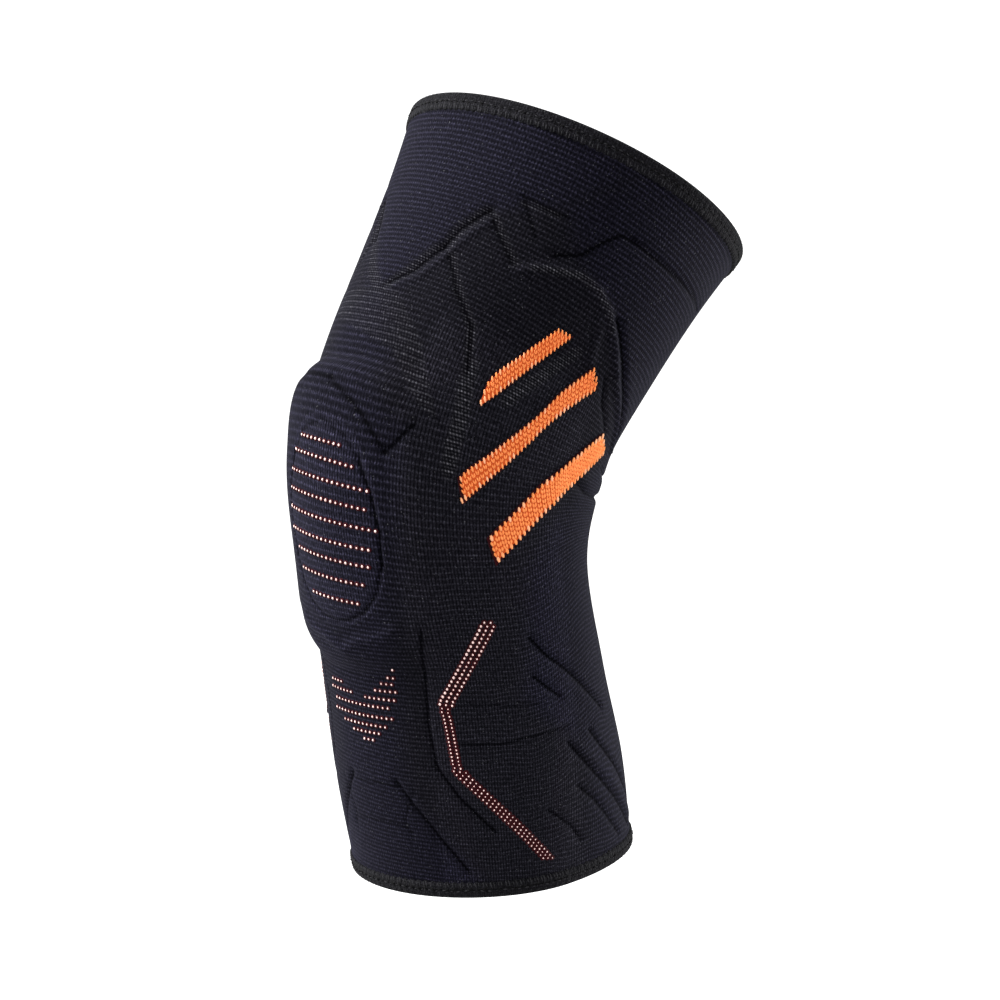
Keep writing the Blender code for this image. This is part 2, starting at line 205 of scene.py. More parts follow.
def flat_place(along, turn):
    """The knit laid out flat: metres round from the front, and metres up from the knee."""
    return np.stack([np.radians(turn) * MEAN_RADIUS, distance_of(along)], axis=-1)


def off_segments(places, points):
    """For each segment of a line: its run, how far along it each place is, and the way off it."""
    line = flat_place(*np.array(points, float).T)
    for start, end in zip(line[:-1], line[1:]):
        run, away = end - start, places - start
        share = (away @ run) / (run @ run)
        yield run, share, away - np.clip(share, 0.0, 1.0)[..., None] * run


def distance_to_line(places, points):
    """Shortest distance from each flat place to a line of (along, turn) points."""
    return np.minimum.reduce([np.linalg.norm(off, axis=-1) for _, _, off in off_segments(places, points)])


def relief(along, turn):
    """Height of all ridges and creases there, in metres."""
    along, turn = np.broadcast_arrays(np.asarray(along, float), np.asarray(turn, float))
    both = flat_place(along, np.abs(turn))
    lift = np.zeros(along.shape)
    for _, sides, width, height, points in RELIEF:
        places = both if sides == 2 else flat_place(along, turn)
        lift += height / 1000.0 * np.exp(-((distance_to_line(places, points) / (width / 1000.0)) ** 2))
    return lift


def crease_line(along, turn):
    """Millimetres to the nearest crease, less than 0 on one side of it, and how sharp it is there."""
    both, one = flat_place(along, np.abs(turn)), flat_place(along, turn)
    side, sharpness = np.full(along.shape, CREASE_LIMIT), np.zeros(along.shape)
    for _, sides, _, height, points in RELIEF:
        if height > 0.0:
            continue
        for number, (run, share, off) in enumerate(off_segments(both if sides == 2 else one, points)):
            distance = 1000.0 * np.linalg.norm(off, axis=-1)
            past_end = ((share < 0.0) & (number == 0)) | ((share > 1.0) & (number == len(points) - 2))
            fade = 1.0 - smooth_step((distance - np.where(past_end, 0.0, CREASE_REACH)) / CREASE_FADE)
            nearer = distance < np.abs(side)
            turned = np.sign(run[0] * off[..., 1] - run[1] * off[..., 0])
            side = np.where(nearer, distance * turned, side)
            sharpness = np.where(nearer, fade * min(1.0, -height / SHARPEST_CREASE), sharpness)
    return side, sharpness


heights = [row[3] for row in RELIEF]
print(len(RELIEF), "lines of relief, from", min(heights), "to", max(heights), "mm")

# %% [markdown]
# ## Zones of yarn
#
# The tube is knitted from two dark yarns. A navy one shows down the front and round the back, and a
# black one on the sides. In a few strips the yarn floats over several stitches at a time, and those
# strips look coarse and catch the light. Each vertex of the cloth carries these facts as named
# attributes, which the material reads.

# %% Where each yarn shows
FRONT_BORDER = (
    # along, turn up to which the navy front reaches
    (-1.00, 47.0), (-0.95, 44.0), (-0.86, 33.0), (-0.76, 21.0), (-0.68, 17.5), (-0.60, 17.0),
    (-0.33, 24.0), (-0.15, 30.0), (0.00, 32.0), (0.06, 31.0), (0.12, 19.0), (0.22, 15.0), (0.33, 6.0),
    (0.41, 12.0), (0.51, 19.0), (0.57, 22.0), (0.66, 30.0), (0.75, 52.0), (1.00, 75.0),
)
REAR_BORDER = (
    # along, turn from which the navy back starts
    (-1.00, 100.0), (-0.80, 101.0), (-0.70, 103.0), (-0.62, 93.0), (-0.56, 80.0), (-0.50, 72.0),
    (-0.36, 76.0), (-0.20, 79.0), (-0.10, 90.0), (0.00, 108.0), (0.20, 126.0), (0.34, 108.0),
    (0.45, 93.0), (0.54, 82.0), (0.58, 73.0), (0.64, 62.0), (0.75, 52.0), (1.00, 75.0),
)
YARN_BLUR = 16.0
FLOAT_STRIPS = (
    # name, half width mm, points (along, turn)
    ("ladder", 2.4, ((0.34, 1), (0.405, 10), (0.50, 17.5))),
    ("ladder, upper", 2.4, ((0.51, 20), (0.57, 21.5), (0.65, 28))),
    ("ladder descent", 1.5, ((0.485, 24), (0.40, 31), (0.305, 42), (0.20, 47))),
    ("before the bars", 2.6, ((0.22, 47), (0.10, 50), (0.0, 49.5))),
    ("second descent", 1.2, ((0.645, 31), (0.56, 41), (0.53, 45))),
    ("third peak", 1.2, ((0.71, 38), (0.716, 50))),
    ("under the upper bar", 2.0, ((0.175, 63), (0.27, 71), (0.38, 78))),
    ("oval ridge", 1.3, ((0.54, 51), (0.583, 67), (0.571, 74), (0.537, 81), (0.496, 86))),
)
FLOAT_WEDGE = (
    # corners (along, turn) of the one wedge that crosses the front
    (0.335, -40), (0.335, 10), (0.228, 28), (0.157, 35), (0.085, 43),
    (0.11, 34), (0.20, 18), (0.22, 4), (0.29, -36),
)
WEDGE_FLOATS = 0.65
GRID_TURN, GRID_REAR_TURN, GRID_TOP = 27.0, 100.0, 0.36
GRID_FADE, GRID_REAR_FADE, GRID_TOP_FADE = 6.0, 8.0, 0.10
OVAL_MIDDLE, OVAL_HALF_HEIGHT, OVAL_HALF_TURN = -0.12, 0.028, 27.0
GRID_RIBS, OVAL_RIBS = 0.25, 0.3


def inside(along, turn, corners):
    """Whether each place lies inside a ring of (along, turn) corners."""
    found = np.zeros(np.shape(along), bool)
    for (along_a, turn_a), (along_b, turn_b) in zip(corners, corners[1:] + corners[:1]):
        crosses = (along_a > along) != (along_b > along)
        rise = np.where(crosses, (along - along_a) / ((along_b - along_a) or 1.0), 0.0)
        found ^= crosses & (turn < turn_a + rise * (turn_b - turn_a))
    return found


def navy_share(along, turn):
    """1 where the navy yarn shows and 0 where the black one does."""
    front = np.interp(along, *zip(*FRONT_BORDER))
    rear = np.interp(along, *zip(*REAR_BORDER))
    off = np.minimum(np.abs(turn) - front, rear - np.abs(turn))
    return 1.0 - smooth_step(off / YARN_BLUR + 0.5)


def float_share(along, turn):
    """1 where the yarn floats over several stitches."""
    share = WEDGE_FLOATS * inside(along, turn, FLOAT_WEDGE)
    for _, half_width, points in FLOAT_STRIPS:
        off = distance_to_line(flat_place(along, np.abs(turn)), points) * 1000.0 / half_width
        share = np.maximum(share, 1.0 - smooth_step(off - 0.5))
    return share


def rib_share(along, turn):
    """1 where the rows stand out as ribs, less on the plain grid of the sides and of the kneecap."""
    side = smooth_step((np.abs(turn) - GRID_TURN) / GRID_FADE)
    side = side * smooth_step((GRID_TOP - along) / GRID_TOP_FADE)
    side = side * smooth_step((GRID_REAR_TURN - np.abs(turn)) / GRID_REAR_FADE)
    oval = ((along - OVAL_MIDDLE) * SHIN_LENGTH / OVAL_HALF_HEIGHT) ** 2 + (turn / OVAL_HALF_TURN) ** 2
    return (1.0 - (1.0 - GRID_RIBS) * side) * np.where(oval < 1.0, OVAL_RIBS, 1.0)


whole_knit = np.meshgrid(np.linspace(-1, 1, 200), np.linspace(-180, 180, 200))
print("floats cover", round(100 * float(float_share(*whole_knit).mean()), 1), "% of the knit")

# %% [markdown]
# ## A helper for meshes
#
# Every cloth surface here is a grid of rings. The helper joins the rings, stores where each vertex
# lies in the knit as a UV map that counts stitches round and rows up, and stores the zones. Rows on
# a real sleeve are not quite level or even: they wind in a spiral, stretch up the leg, sag behind
# the knee and waver where the knit is loose.

# %% Make a cloth mesh from rings
STITCHES_ROUND = 300
ROW_PITCH = 0.00184
ROW_STRETCH = 0.8
SPIRAL_ROWS = 10.0
# How far the rows sag behind the knee, from which turn and below which place, and how softly
SAG_BEHIND, SAG_TURN, SAG_TOP, SAG_FOOT = 0.012, 70.0, 0.10, -0.95
SAG_TURN_FADE, SAG_FADE = 45.0, 0.35
# Below this place and behind this turn the knit is loose, and its rows waver
LOOSE_TOP, LOOSE_TURN, LOOSE_FADE, LOOSE_TURN_FADE = -0.25, 40.0, 0.25, 20.0
ZONES = ("navy", "floats", "rib", "crease", "ridge", "crease_side", "crease_sharpness")
DEEP_RELIEF = 0.0012


def row_number(along, turn):
    """Rows up from the knee: a little further apart up the leg, and wound in a shallow spiral."""
    behind = smooth_step((np.abs(turn) - SAG_TURN) / SAG_TURN_FADE)
    behind = behind * smooth_step((SAG_TOP - along) / SAG_FADE)
    distance = distance_of(along) - SAG_BEHIND * behind * smooth_step((along - SAG_FOOT) / SAG_FADE)
    rows = np.log1p(ROW_STRETCH * distance) / ROW_STRETCH / ROW_PITCH
    loose = smooth_step((LOOSE_TOP - along) / LOOSE_FADE)
    loose = loose * smooth_step((np.abs(turn) - LOOSE_TURN) / LOOSE_TURN_FADE)
    # Each wave has its size in rows, and how often it turns round the leg and up the leg
    for size, round_leg, up_leg in (
        (0.20, 3.0, 9.0), (0.09, 7.0, -17.0), (0.16 * loose, 12.0, 31.0), (0.16 * loose, 17.0, -47.0)
    ):
        rows = rows + size * np.sin(round_leg * np.radians(turn) + up_leg * along)
    return rows + SPIRAL_ROWS * turn / 360.0


def add_object(name, data):
    """Put an object with this mesh, lamp or camera into the scene."""
    added = bpy.data.objects.new(name, data)
    bpy.context.scene.collection.objects.link(added)
    return added


def cloth_mesh(name, points, faces, along, turn, material):
    """A smooth mesh whose UV map counts stitches and rows, with the zones as attributes."""
    mesh = bpy.data.meshes.new(name)
    mesh.from_pydata(points.tolist(), [], faces)
    mesh.validate()
    mesh.shade_smooth()
    corners = np.empty(len(mesh.loops), int)
    mesh.loops.foreach_get("vertex_index", corners)
    stitch = turn[corners] * STITCHES_ROUND / 360.0
    # A face that crosses the middle of the back counts its stitches on past the half turn
    sizes = np.empty(len(mesh.polygons), int)
    mesh.polygons.foreach_get("loop_total", sizes)
    owner = np.repeat(np.arange(len(sizes)), sizes)
    highest = np.full(len(sizes), -np.inf)
    np.maximum.at(highest, owner, stitch)
    behind = highest[owner] - stitch > STITCHES_ROUND / 2.0
    stitch = stitch + STITCHES_ROUND * behind
    row = row_number(along, turn)[corners] + SPIRAL_ROWS * behind
    mesh.uv_layers.new(name="Stitches").data.foreach_set("uv", np.stack([stitch, row], axis=-1).ravel())
    height = relief(along, turn) / DEEP_RELIEF
    shares = (navy_share(along, turn), float_share(along, turn), rib_share(along, turn))
    shares += (np.clip(-height, 0.0, 1.0), np.clip(height, 0.0, 1.0), *crease_line(along, turn))
    for zone, values in zip(ZONES, shares):
        mesh.attributes.new(zone, "FLOAT", "POINT").data.foreach_set("value", values.astype(np.float32))
    mesh.materials.append(material)
    return add_object(name, mesh)


def ring_faces(rings, columns):
    """Faces that join each ring of vertices to the next, and the last to the first."""
    ring, column = np.meshgrid(np.arange(rings), np.arange(columns), indexing="ij")
    here, above = ring * columns, (ring + 1) % rings * columns
    beside = (column + 1) % columns
    quads = np.stack([here + column, here + beside, above + beside, above + column], axis=-1)
    return quads.reshape(-1, 4).tolist()


def triangles(piece):
    piece.data.calc_loop_triangles()
    return len(piece.data.loop_triangles)


print("a stitch at the knee:", round(2000 * math.pi * MEAN_RADIUS / STITCHES_ROUND, 2), "mm wide")

# %% [markdown]
# ## Materials of yarn
#
# Real knit is thousands of loops. Modelling each one on the whole sleeve would take millions of
# faces, so the plain cloth draws its loops in the material, from the stitch counts in the UV map.
# Three node groups hold what the materials share: the height of knitted yarn, the unevenness of its
# fibres, and how loose each stitch is. They give numbers only, and each material keeps its own
# shader. A small class lets the sums in these node trees be written as sums.

# %% Helpers for node trees


def feed(tree, value, socket):
    """Link a value to a socket, or set the socket where the value is a plain one."""
    value = getattr(value, "socket", value)
    if isinstance(value, bpy.types.NodeSocket):
        tree.links.new(value, socket)
    else:
        socket.default_value = value


class Number:
    """A number in a node tree. Every sum written with it adds a Math node."""

    def __init__(self, tree, socket):
        self.tree, self.socket = tree, socket

    def math(self, operation, *others):
        node = self.tree.nodes.new("ShaderNodeMath")
        node.operation = operation
        for value, socket in zip((self, *others), node.inputs):
            feed(self.tree, value, socket)
        return Number(self.tree, node.outputs[0])

    def __add__(self, other):
        return self.math("ADD", other)

    def __sub__(self, other):
        return self.math("SUBTRACT", other)

    def __rsub__(self, other):
        return self.math("MULTIPLY_ADD", -1.0, other)

    def __mul__(self, other):
        return self.math("MULTIPLY", other)

    def __pow__(self, other):
        return self.math("POWER", other)


def blend(tree, share, low, high):
    """Add a node that mixes two colours, and return its result."""
    node = tree.nodes.new("ShaderNodeMix")
    node.data_type = "RGBA"
    for value, socket in zip((share, low, high), (node.inputs["Factor"], node.inputs[6], node.inputs[7])):
        feed(tree, value, socket)
    return node.outputs[2]


def span(value, low, high, new_low=0.0, new_high=1.0):
    """A number moved from low..high to new_low..new_high and held inside it."""
    node = value.tree.nodes.new("ShaderNodeMapRange")
    labels = ("Value", "From Min", "From Max", "To Min", "To Max")
    for label, number in zip(labels, (value, low, high, new_low, new_high)):
        feed(value.tree, number, node.inputs[label])
    return Number(value.tree, node.outputs["Result"])


def wave(value):
    """A smooth wave from 0 to 1 and back for each whole number of the value, 1 at the whole."""
    return (value * (2.0 * math.pi)).math("COSINE") * 0.5 + 0.5


def noise(tree, place, scale, detail):
    """Smooth noise about 0.5."""
    node = tree.nodes.new("ShaderNodeTexNoise")
    for label, value in (("Vector", place), ("Scale", scale), ("Detail", detail)):
        feed(tree, value, node.inputs[label])
    return Number(tree, node.outputs["Fac"])


def own_place(tree):
    return tree.nodes.new("ShaderNodeTexCoord").outputs["Object"]


def number_group(name, results, **inputs):
    """A node group with these number inputs and results: the group, its inputs, its result sockets."""
    group = bpy.data.node_groups.new(name, "ShaderNodeTree")
    for label, value in inputs.items():
        group.interface.new_socket(label, in_out="INPUT", socket_type="NodeSocketFloat").default_value = value
    for label in results:
        group.interface.new_socket(label, in_out="OUTPUT", socket_type="NodeSocketFloat")
    given = [Number(group, socket) for socket in group.nodes.new("NodeGroupInput").outputs[: len(inputs)]]
    return group, given, group.nodes.new("NodeGroupOutput").inputs


print("a sum of numbers becomes Math nodes")

# %% Node groups for the yarn


def knitted_yarn_group():
    """Height of the yarn from the stitch counts: rows of V stitches, ribs, or long floats."""
    group, (stitch, row, rib, floats), results = number_group(
        "Knitted yarn", ("Height", "Shine"), Stitch=0.0, Row=0.0, Rib=1.0, Floats=0.0
    )
    # Each stitch is a V, so a row climbs from the middle of the stitch to both of its borders
    across = (stitch.math("FRACT") * 2.0 - 1.0).math("ABSOLUTE")
    climbed = across * 0.18 + row
    crest, between_rows = wave(climbed).math("SQRT"), wave(climbed * 2.0)
    ribs = crest * 0.66 + between_rows * 0.26
    grid = crest * 0.40 + (between_rows * 0.36 + 0.20)
    gap = across**2.5 * (rib * -0.32 + 0.92)
    plain = ((ribs - grid) * rib + grid) * (1.0 - gap)
    # Floats lie on top in thin lines, two to a row, broken by every stitch
    lines = wave(row) ** 3.0 + wave(row + 0.5) ** 3.0 * 0.65
    dashes = lines * (wave(row * 0.7 + stitch) * 0.55 + 0.45)
    feed(group, (dashes - plain) * floats + plain, results["Height"])
    feed(group, dashes * floats, results["Shine"])
    return group


def fibre_group():
    """Small unevenness of yarn: broad tension patches, fine fuzz and rare pale specks."""
    group, (patchy, fuzzy), results = number_group("Fibre", ("Shade", "Speck"), Patches=0.15, Fuzz=0.3)
    place = own_place(group)
    patches, fuzz = noise(group, place, 45.0, 3.0) - 0.5, noise(group, place, 1700.0, 1.0) - 0.5
    feed(group, (patches * patchy + fuzz * fuzzy) * 2.0 + 1.0, results["Shade"])
    feed(group, span(noise(group, place, 1500.0, 0.0), 0.80, 0.86), results["Speck"])
    return group


def tension_group():
    """How loose each stitch is, a little different from one stitch to the next."""
    group, (stitch, row, amount), results = number_group(
        "Tension", ("Share",), Stitch=0.0, Row=0.0, Amount=1.0
    )
    place = group.nodes.new("ShaderNodeCombineXYZ")
    feed(group, stitch, place.inputs["X"])
    feed(group, row, place.inputs["Y"])
    feed(group, (noise(group, place.outputs[0], 1.3, 2.0) - 0.5) * amount + 1.0, results["Share"])
    return group


KNITTED_YARN, FIBRE, TENSION = knitted_yarn_group(), fibre_group(), tension_group()
print("groups:", KNITTED_YARN.name, FIBRE.name, TENSION.name)

# %% [markdown]
# The sleeve's own material mixes the two dark yarns. Shade is painted into its colour: deep places
# between the loops are darker, and a thin line of painted shade runs along the bottom of a crease.
# The long floats get a painted highlight. The bump gives the loops their shading.

# %% The dark knit
BLACK_YARN = (0.0068, 0.0065, 0.0088, 1.0)
NAVY_YARN = (0.0075, 0.0071, 0.0126, 1.0)
FLOAT_HIGHLIGHT = (0.0270, 0.0264, 0.0300, 1.0)
NAVY_GLOSS = (0.68, 0.66, 1.0, 1.0)
PALE_FIBRE = (0.12, 0.12, 0.13, 1.0)
CREASE_THINNESS = 1.75


def new_material(name, roughness, bump_height):
    """A material with its tree, its shader and a Bump node that feeds the shader."""
    material = bpy.data.materials.new(name)
    material.use_nodes = True
    tree = material.node_tree
    shader, bump = tree.nodes["Principled BSDF"], tree.nodes.new("ShaderNodeBump")
    shader.inputs["Roughness"].default_value = roughness
    for label, value in (("Specular IOR Level", 0.05), ("Sheen Weight", 0.037), ("Sheen Roughness", 0.4)):
        shader.inputs[label].default_value = value
    bump.inputs["Strength"].default_value = 1.0
    bump.inputs["Distance"].default_value = bump_height
    tree.links.new(bump.outputs["Normal"], shader.inputs["Normal"])
    return material, tree, shader, bump


def zone_value(tree, name):
    node = tree.nodes.new("ShaderNodeAttribute")
    node.attribute_name = name
    return Number(tree, node.outputs["Fac"])


def stitch_counts(tree):
    """The stitch and row counts of the piece's own UV map."""
    node = tree.nodes.new("ShaderNodeUVMap")
    node.uv_map = "Stitches"
    apart = tree.nodes.new("ShaderNodeSeparateXYZ")
    tree.links.new(node.outputs["UV"], apart.inputs["Vector"])
    return Number(tree, apart.outputs["X"]), Number(tree, apart.outputs["Y"])


def use_group(tree, group, **values):
    """Place a node group, feed its inputs by name, and return its results by name."""
    node = tree.nodes.new("ShaderNodeGroup")
    node.node_tree = group
    for label, value in values.items():
        feed(tree, value, node.inputs[label])
    return {socket.name: Number(tree, socket) for socket in node.outputs}


def dark_knit_material():
    material, tree, shader, bump = new_material("Dark knit", 0.82, 0.00030)
    for label in ("Sheen Tint", "Specular Tint"):
        shader.inputs[label].default_value = NAVY_GLOSS
    stitch, row = stitch_counts(tree)
    navy, floats, rib, crease, ridge, side, sharpness = (zone_value(tree, zone) for zone in ZONES)
    yarn = use_group(tree, KNITTED_YARN, Stitch=stitch, Row=row, Rib=rib, Floats=floats)
    fibre = use_group(tree, FIBRE, Patches=0.25, Fuzz=1.4)
    tension = use_group(tree, TENSION, Stitch=stitch, Row=row, Amount=2.2)["Share"]
    # A thin line of painted shade along the bottom of each crease, also cut into the bump
    valley = (side * side * -(CREASE_THINNESS**2)).math("EXPONENT") * sharpness * (1.1 - yarn["Height"] * 0.5)
    height = yarn["Height"] * tension - valley * 0.8
    colour = blend(tree, navy, BLACK_YARN, NAVY_YARN)
    # Painted highlight: the long floats are lightened where they lie on top
    colour = blend(tree, yarn["Shine"] * tension, colour, FLOAT_HIGHLIGHT)
    # Painted shade darkens the colour between the loops and in creases, painted light brightens the
    # ridges, and the flatter grid is painted lighter than the ribs
    depth = height.math("MAXIMUM", 0.0) ** 1.6 * 2.4 + 0.06
    painted_fold_shade = (1.0 - crease * 0.25) * (1.0 - valley * 0.88) * (ridge * 0.7 + 1.0)
    shaded = tree.nodes.new("ShaderNodeVectorMath")
    shaded.operation = "SCALE"
    feed(tree, colour, shaded.inputs[0])
    feed(tree, depth * painted_fold_shade * (rib * -0.74 + 1.61) * fibre["Shade"], shaded.inputs["Scale"])
    feed(tree, blend(tree, fibre["Speck"] * 0.5, shaded.outputs[0], PALE_FIBRE), shader.inputs["Base Color"])
    feed(tree, span(height, 0.0, 1.0, 0.92, 0.74), shader.inputs["Roughness"])
    feed(tree, height, bump.inputs["Height"])
    return material


DARK_KNIT = dark_knit_material()
print("nodes in the dark knit:", len(DARK_KNIT.node_tree.nodes))

# %% [markdown]
# ## The knitted tube
#
# The sleeve itself is a wall of elastic knit, open at both ends. It could be one surface with a
# Solidify modifier, but its ridges belong on the outside only, so the outer and the inner face are
# laid as two sets of rings that join at the hems.

# %% Knit the tube
KNIT_THICKNESS = 0.0020
HEM_THICKNESS = 0.0028
UPPER_HEM_HEIGHT = 0.0070
LOWER_HEM_HEIGHT = 0.0060
COLUMNS = 400
OUTER_RINGS = 238
INNER_RINGS = 8


def knit_sleeve():
    lowest = -(1.0 - LOWER_HEM_HEIGHT / SHIN_LENGTH)
    highest = 1.0 - UPPER_HEM_HEIGHT / THIGH_LENGTH
    turns = np.arange(COLUMNS) * 360.0 / COLUMNS - 180.0
    up = along_of(np.linspace(lowest * SHIN_LENGTH, highest * THIGH_LENGTH, OUTER_RINGS))
    down = along_of(np.linspace(highest * THIGH_LENGTH, lowest * SHIN_LENGTH, INNER_RINGS))
    along = np.repeat(np.concatenate([up, down]), COLUMNS)
    turn = np.tile(turns, OUTER_RINGS + INNER_RINGS)
    outer = np.arange(len(along)) < OUTER_RINGS * COLUMNS
    lift = np.where(outer, relief(along, turn), -KNIT_THICKNESS)
    faces = ring_faces(OUTER_RINGS + INNER_RINGS, COLUMNS)
    return cloth_mesh("sleeve_knit", on_knit(along, turn, lift), faces, along, turn, DARK_KNIT)


sleeve = knit_sleeve()
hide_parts("knit_sleeve")
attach(sleeve, "root")
print("sleeve:", triangles(sleeve), "triangles")

# %% [markdown]
# ## The kneecap shield
#
# Over the kneecap the machine knits a thick cushion into the wall. It rises in a broad shield with
# an oval groove in it, stands out most above the kneecap, and fades into the cloth at its sides.
# Cloth simulation could swell a cushion, but this one is knitted to its form and stretched over a
# knee, so its rings are placed by rule, from the middle over the oval out to a rim that sinks into
# the wall.

# %% Cushion the kneecap
PAD_TURN = 52.0
PAD_ABOVE_KNEE, PAD_BELOW_KNEE = 0.024, 0.070
PAD_OVAL_TURN = 27.0
PAD_OVAL_ABOVE_KNEE, PAD_OVAL_BELOW_KNEE = 0.008, 0.045
PAD_THICKNESS = 0.0050
PAD_SQUARENESS = 4.0
PAD_SHOULDER_RING = 1.50
PAD_SPOKES = 240
PAD_BACK_RINGS, PAD_SINK = (1.6, 1.0, 0.5, 0.02), 0.0012
PAD_PROFILE = (
    # height from the pad's foot (-1) to its brow (1), share of the thickness
    (-1.0, 0.66), (-0.5, 0.80), (0.0, 0.62), (0.5, 1.02), (0.8, 1.25), (1.0, 1.20),
)


def pad_places(ring):
    """Along and turn of the points of one ring: 0 is the middle, 1 the oval and 2 the rim."""
    angle = 2.0 * np.pi * np.arange(PAD_SPOKES) / PAD_SPOKES
    across, upward = np.cos(angle), np.sin(angle)
    corner = (np.abs(across) ** PAD_SQUARENESS + np.abs(upward) ** PAD_SQUARENESS) ** (-1.0 / PAD_SQUARENESS)
    inner, outer = min(ring, 1.0), max(ring - 1.0, 0.0)
    oval_middle = (PAD_OVAL_ABOVE_KNEE - PAD_OVAL_BELOW_KNEE) / 2.0
    oval_half = (PAD_OVAL_ABOVE_KNEE + PAD_OVAL_BELOW_KNEE) / 2.0
    rim_middle = (PAD_ABOVE_KNEE - PAD_BELOW_KNEE) / 2.0
    rim_half = (PAD_ABOVE_KNEE + PAD_BELOW_KNEE) / 2.0
    distance = (1.0 - outer) * (oval_middle + oval_half * inner * upward)
    distance = distance + outer * (rim_middle + rim_half * corner * upward)
    turn = (1.0 - outer) * PAD_OVAL_TURN * inner * across + outer * PAD_TURN * corner * across
    return along_of(distance), turn, (distance - rim_middle) / rim_half


def pad_lift(ring, height):
    """How far the pad's face stands off the wall: full inside, and just under it at the rim."""
    heights, shares = zip(*PAD_PROFILE)
    full = PAD_THICKNESS * smooth_reading(heights, shares, height) + 0.0005
    shoulder = smooth_step((2.0 - ring) / (2.0 - PAD_SHOULDER_RING))
    return full * shoulder - 0.0007 * (1.0 - shoulder)


def kneecap_pad():
    # The rings lie closest at the oval, where the groove is
    face_rings = [*np.linspace(0.02, 0.80, 18), *np.linspace(0.83, 1.17, 22), *np.linspace(1.22, 2.0, 28)]
    chart = []
    for ring in face_rings:
        along, turn, height = pad_places(ring)
        chart.append((along, turn, pad_lift(ring, height) + relief(along, turn)))
    for ring in PAD_BACK_RINGS:
        chart.append((*pad_places(ring)[:2], np.full(PAD_SPOKES, -PAD_SINK)))
    along, turn, lift = np.concatenate(chart, axis=-1)
    rings = len(chart)
    faces = [face[::-1] for face in ring_faces(rings, PAD_SPOKES)[: (rings - 1) * PAD_SPOKES]]
    last = (rings - 1) * PAD_SPOKES
    faces.append(list(range(PAD_SPOKES)))
    faces.append(list(range(last + PAD_SPOKES - 1, last - 1, -1)))
    return cloth_mesh("kneecap_pad_knit", on_knit(along, turn, lift), faces, along, turn, DARK_KNIT)


pad = kneecap_pad()
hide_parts("kneecap_pad")
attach(pad, "root")
print("kneecap pad:", triangles(pad), "triangles")

# %% [markdown]
# ## Sewing with Geometry Nodes
#
# Stitches and dots repeat by the hundred, which is what Geometry Nodes are for. One tree builds a
# stitch of one or two rounded legs from its named sizes and sews it at every vertex of a cloud of
# places. Each place says which way the cloth faces, which way the leg runs and how big the stitch
# is. The tree ends by making the copies real, and the result is kept as a plain mesh.

# %% Build the sewing tree


def sewing_tree(name, legs):
    """A Geometry Nodes tree that sews a stitch of one or two legs at each vertex."""
    tree = bpy.data.node_groups.new(name, "GeometryNodeTree")
    tree.interface.new_socket("Geometry", in_out="OUTPUT", socket_type="NodeSocketGeometry")
    tree.interface.new_socket("Geometry", in_out="INPUT", socket_type="NodeSocketGeometry")
    sizes = {"Length": 0.0010, "Width": 0.0010, "Height": 0.0006, "Splay": 0.4, "Unevenness": 0.1}
    for label, value in sizes.items():
        tree.interface.new_socket(label, in_out="INPUT", socket_type="NodeSocketFloat").default_value = value
    tree.interface.new_socket("Seed", in_out="INPUT", socket_type="NodeSocketInt")
    tree.interface.new_socket("Material", in_out="INPUT", socket_type="NodeSocketMaterial")

    def add(kind, **links):
        node = tree.nodes.new(kind)
        for label, value in links.items():
            feed(tree, value, node.inputs[label])
        return node

    given = {socket.name: Number(tree, socket) for socket in tree.nodes.new("NodeGroupInput").outputs}
    bead = add("GeometryNodeMeshUVSphere", Segments=6, Rings=4, Radius=0.5).outputs["Mesh"]
    size = add("ShaderNodeCombineXYZ", X=given["Width"], Y=given["Length"], Z=given["Height"]).outputs[0]
    stitch = add("GeometryNodeTransform", Geometry=bead, Scale=size).outputs[0]
    if legs == 2:
        joined = tree.nodes.new("GeometryNodeJoinGeometry")
        for side in (-1.0, 1.0):
            aside = add("ShaderNodeCombineXYZ", X=given["Width"] * (side * 0.5)).outputs[0]
            turned = add("ShaderNodeCombineXYZ", Z=given["Splay"] * -side).outputs[0]
            leg = add("GeometryNodeTransform", Geometry=stitch, Translation=aside, Rotation=turned).outputs[0]
            tree.links.new(leg, joined.inputs[0])
        stitch = joined.outputs[0]
    facts = {}
    for fact, kind in (("facing", "FLOAT_VECTOR"), ("upward", "FLOAT_VECTOR"), ("size", "FLOAT")):
        node = tree.nodes.new("GeometryNodeInputNamedAttribute")
        node.data_type = kind
        node.inputs["Name"].default_value = fact
        facts[fact] = node.outputs["Attribute"]
    out = add("FunctionNodeAlignRotationToVector", Vector=facts["facing"])
    out.axis = "Z"
    along_leg = add("FunctionNodeAlignRotationToVector", Rotation=out.outputs[0], Vector=facts["upward"])
    along_leg.axis = "Y"
    along_leg.pivot_axis = "Z"
    chance = tree.nodes.new("FunctionNodeRandomValue")
    chance.data_type = "FLOAT"
    feed(tree, 1.0 - given["Unevenness"], chance.inputs[2])
    feed(tree, given["Unevenness"] + 1.0, chance.inputs[3])
    feed(tree, given["Seed"], chance.inputs["Seed"])
    sewn = add(
        "GeometryNodeInstanceOnPoints", Points=given["Geometry"], Instance=stitch,
        Rotation=along_leg.outputs[0], Scale=Number(tree, facts["size"]) * chance.outputs[1],
    )
    real = add("GeometryNodeRealizeInstances", Geometry=sewn.outputs[0])
    smooth = add("GeometryNodeSetShadeSmooth", Geometry=real.outputs[0])
    finished = add("GeometryNodeSetMaterial", Geometry=smooth.outputs[0], Material=given["Material"])
    tree.links.new(finished.outputs[0], tree.nodes.new("NodeGroupOutput").inputs[0])
    return tree


SINGLE_STITCH = sewing_tree("Sew single stitches", 1)
V_STITCH = sewing_tree("Sew V stitches", 2)
print("sewing trees:", SINGLE_STITCH.name, "and", V_STITCH.name)

# %% Sew a cloud of stitches


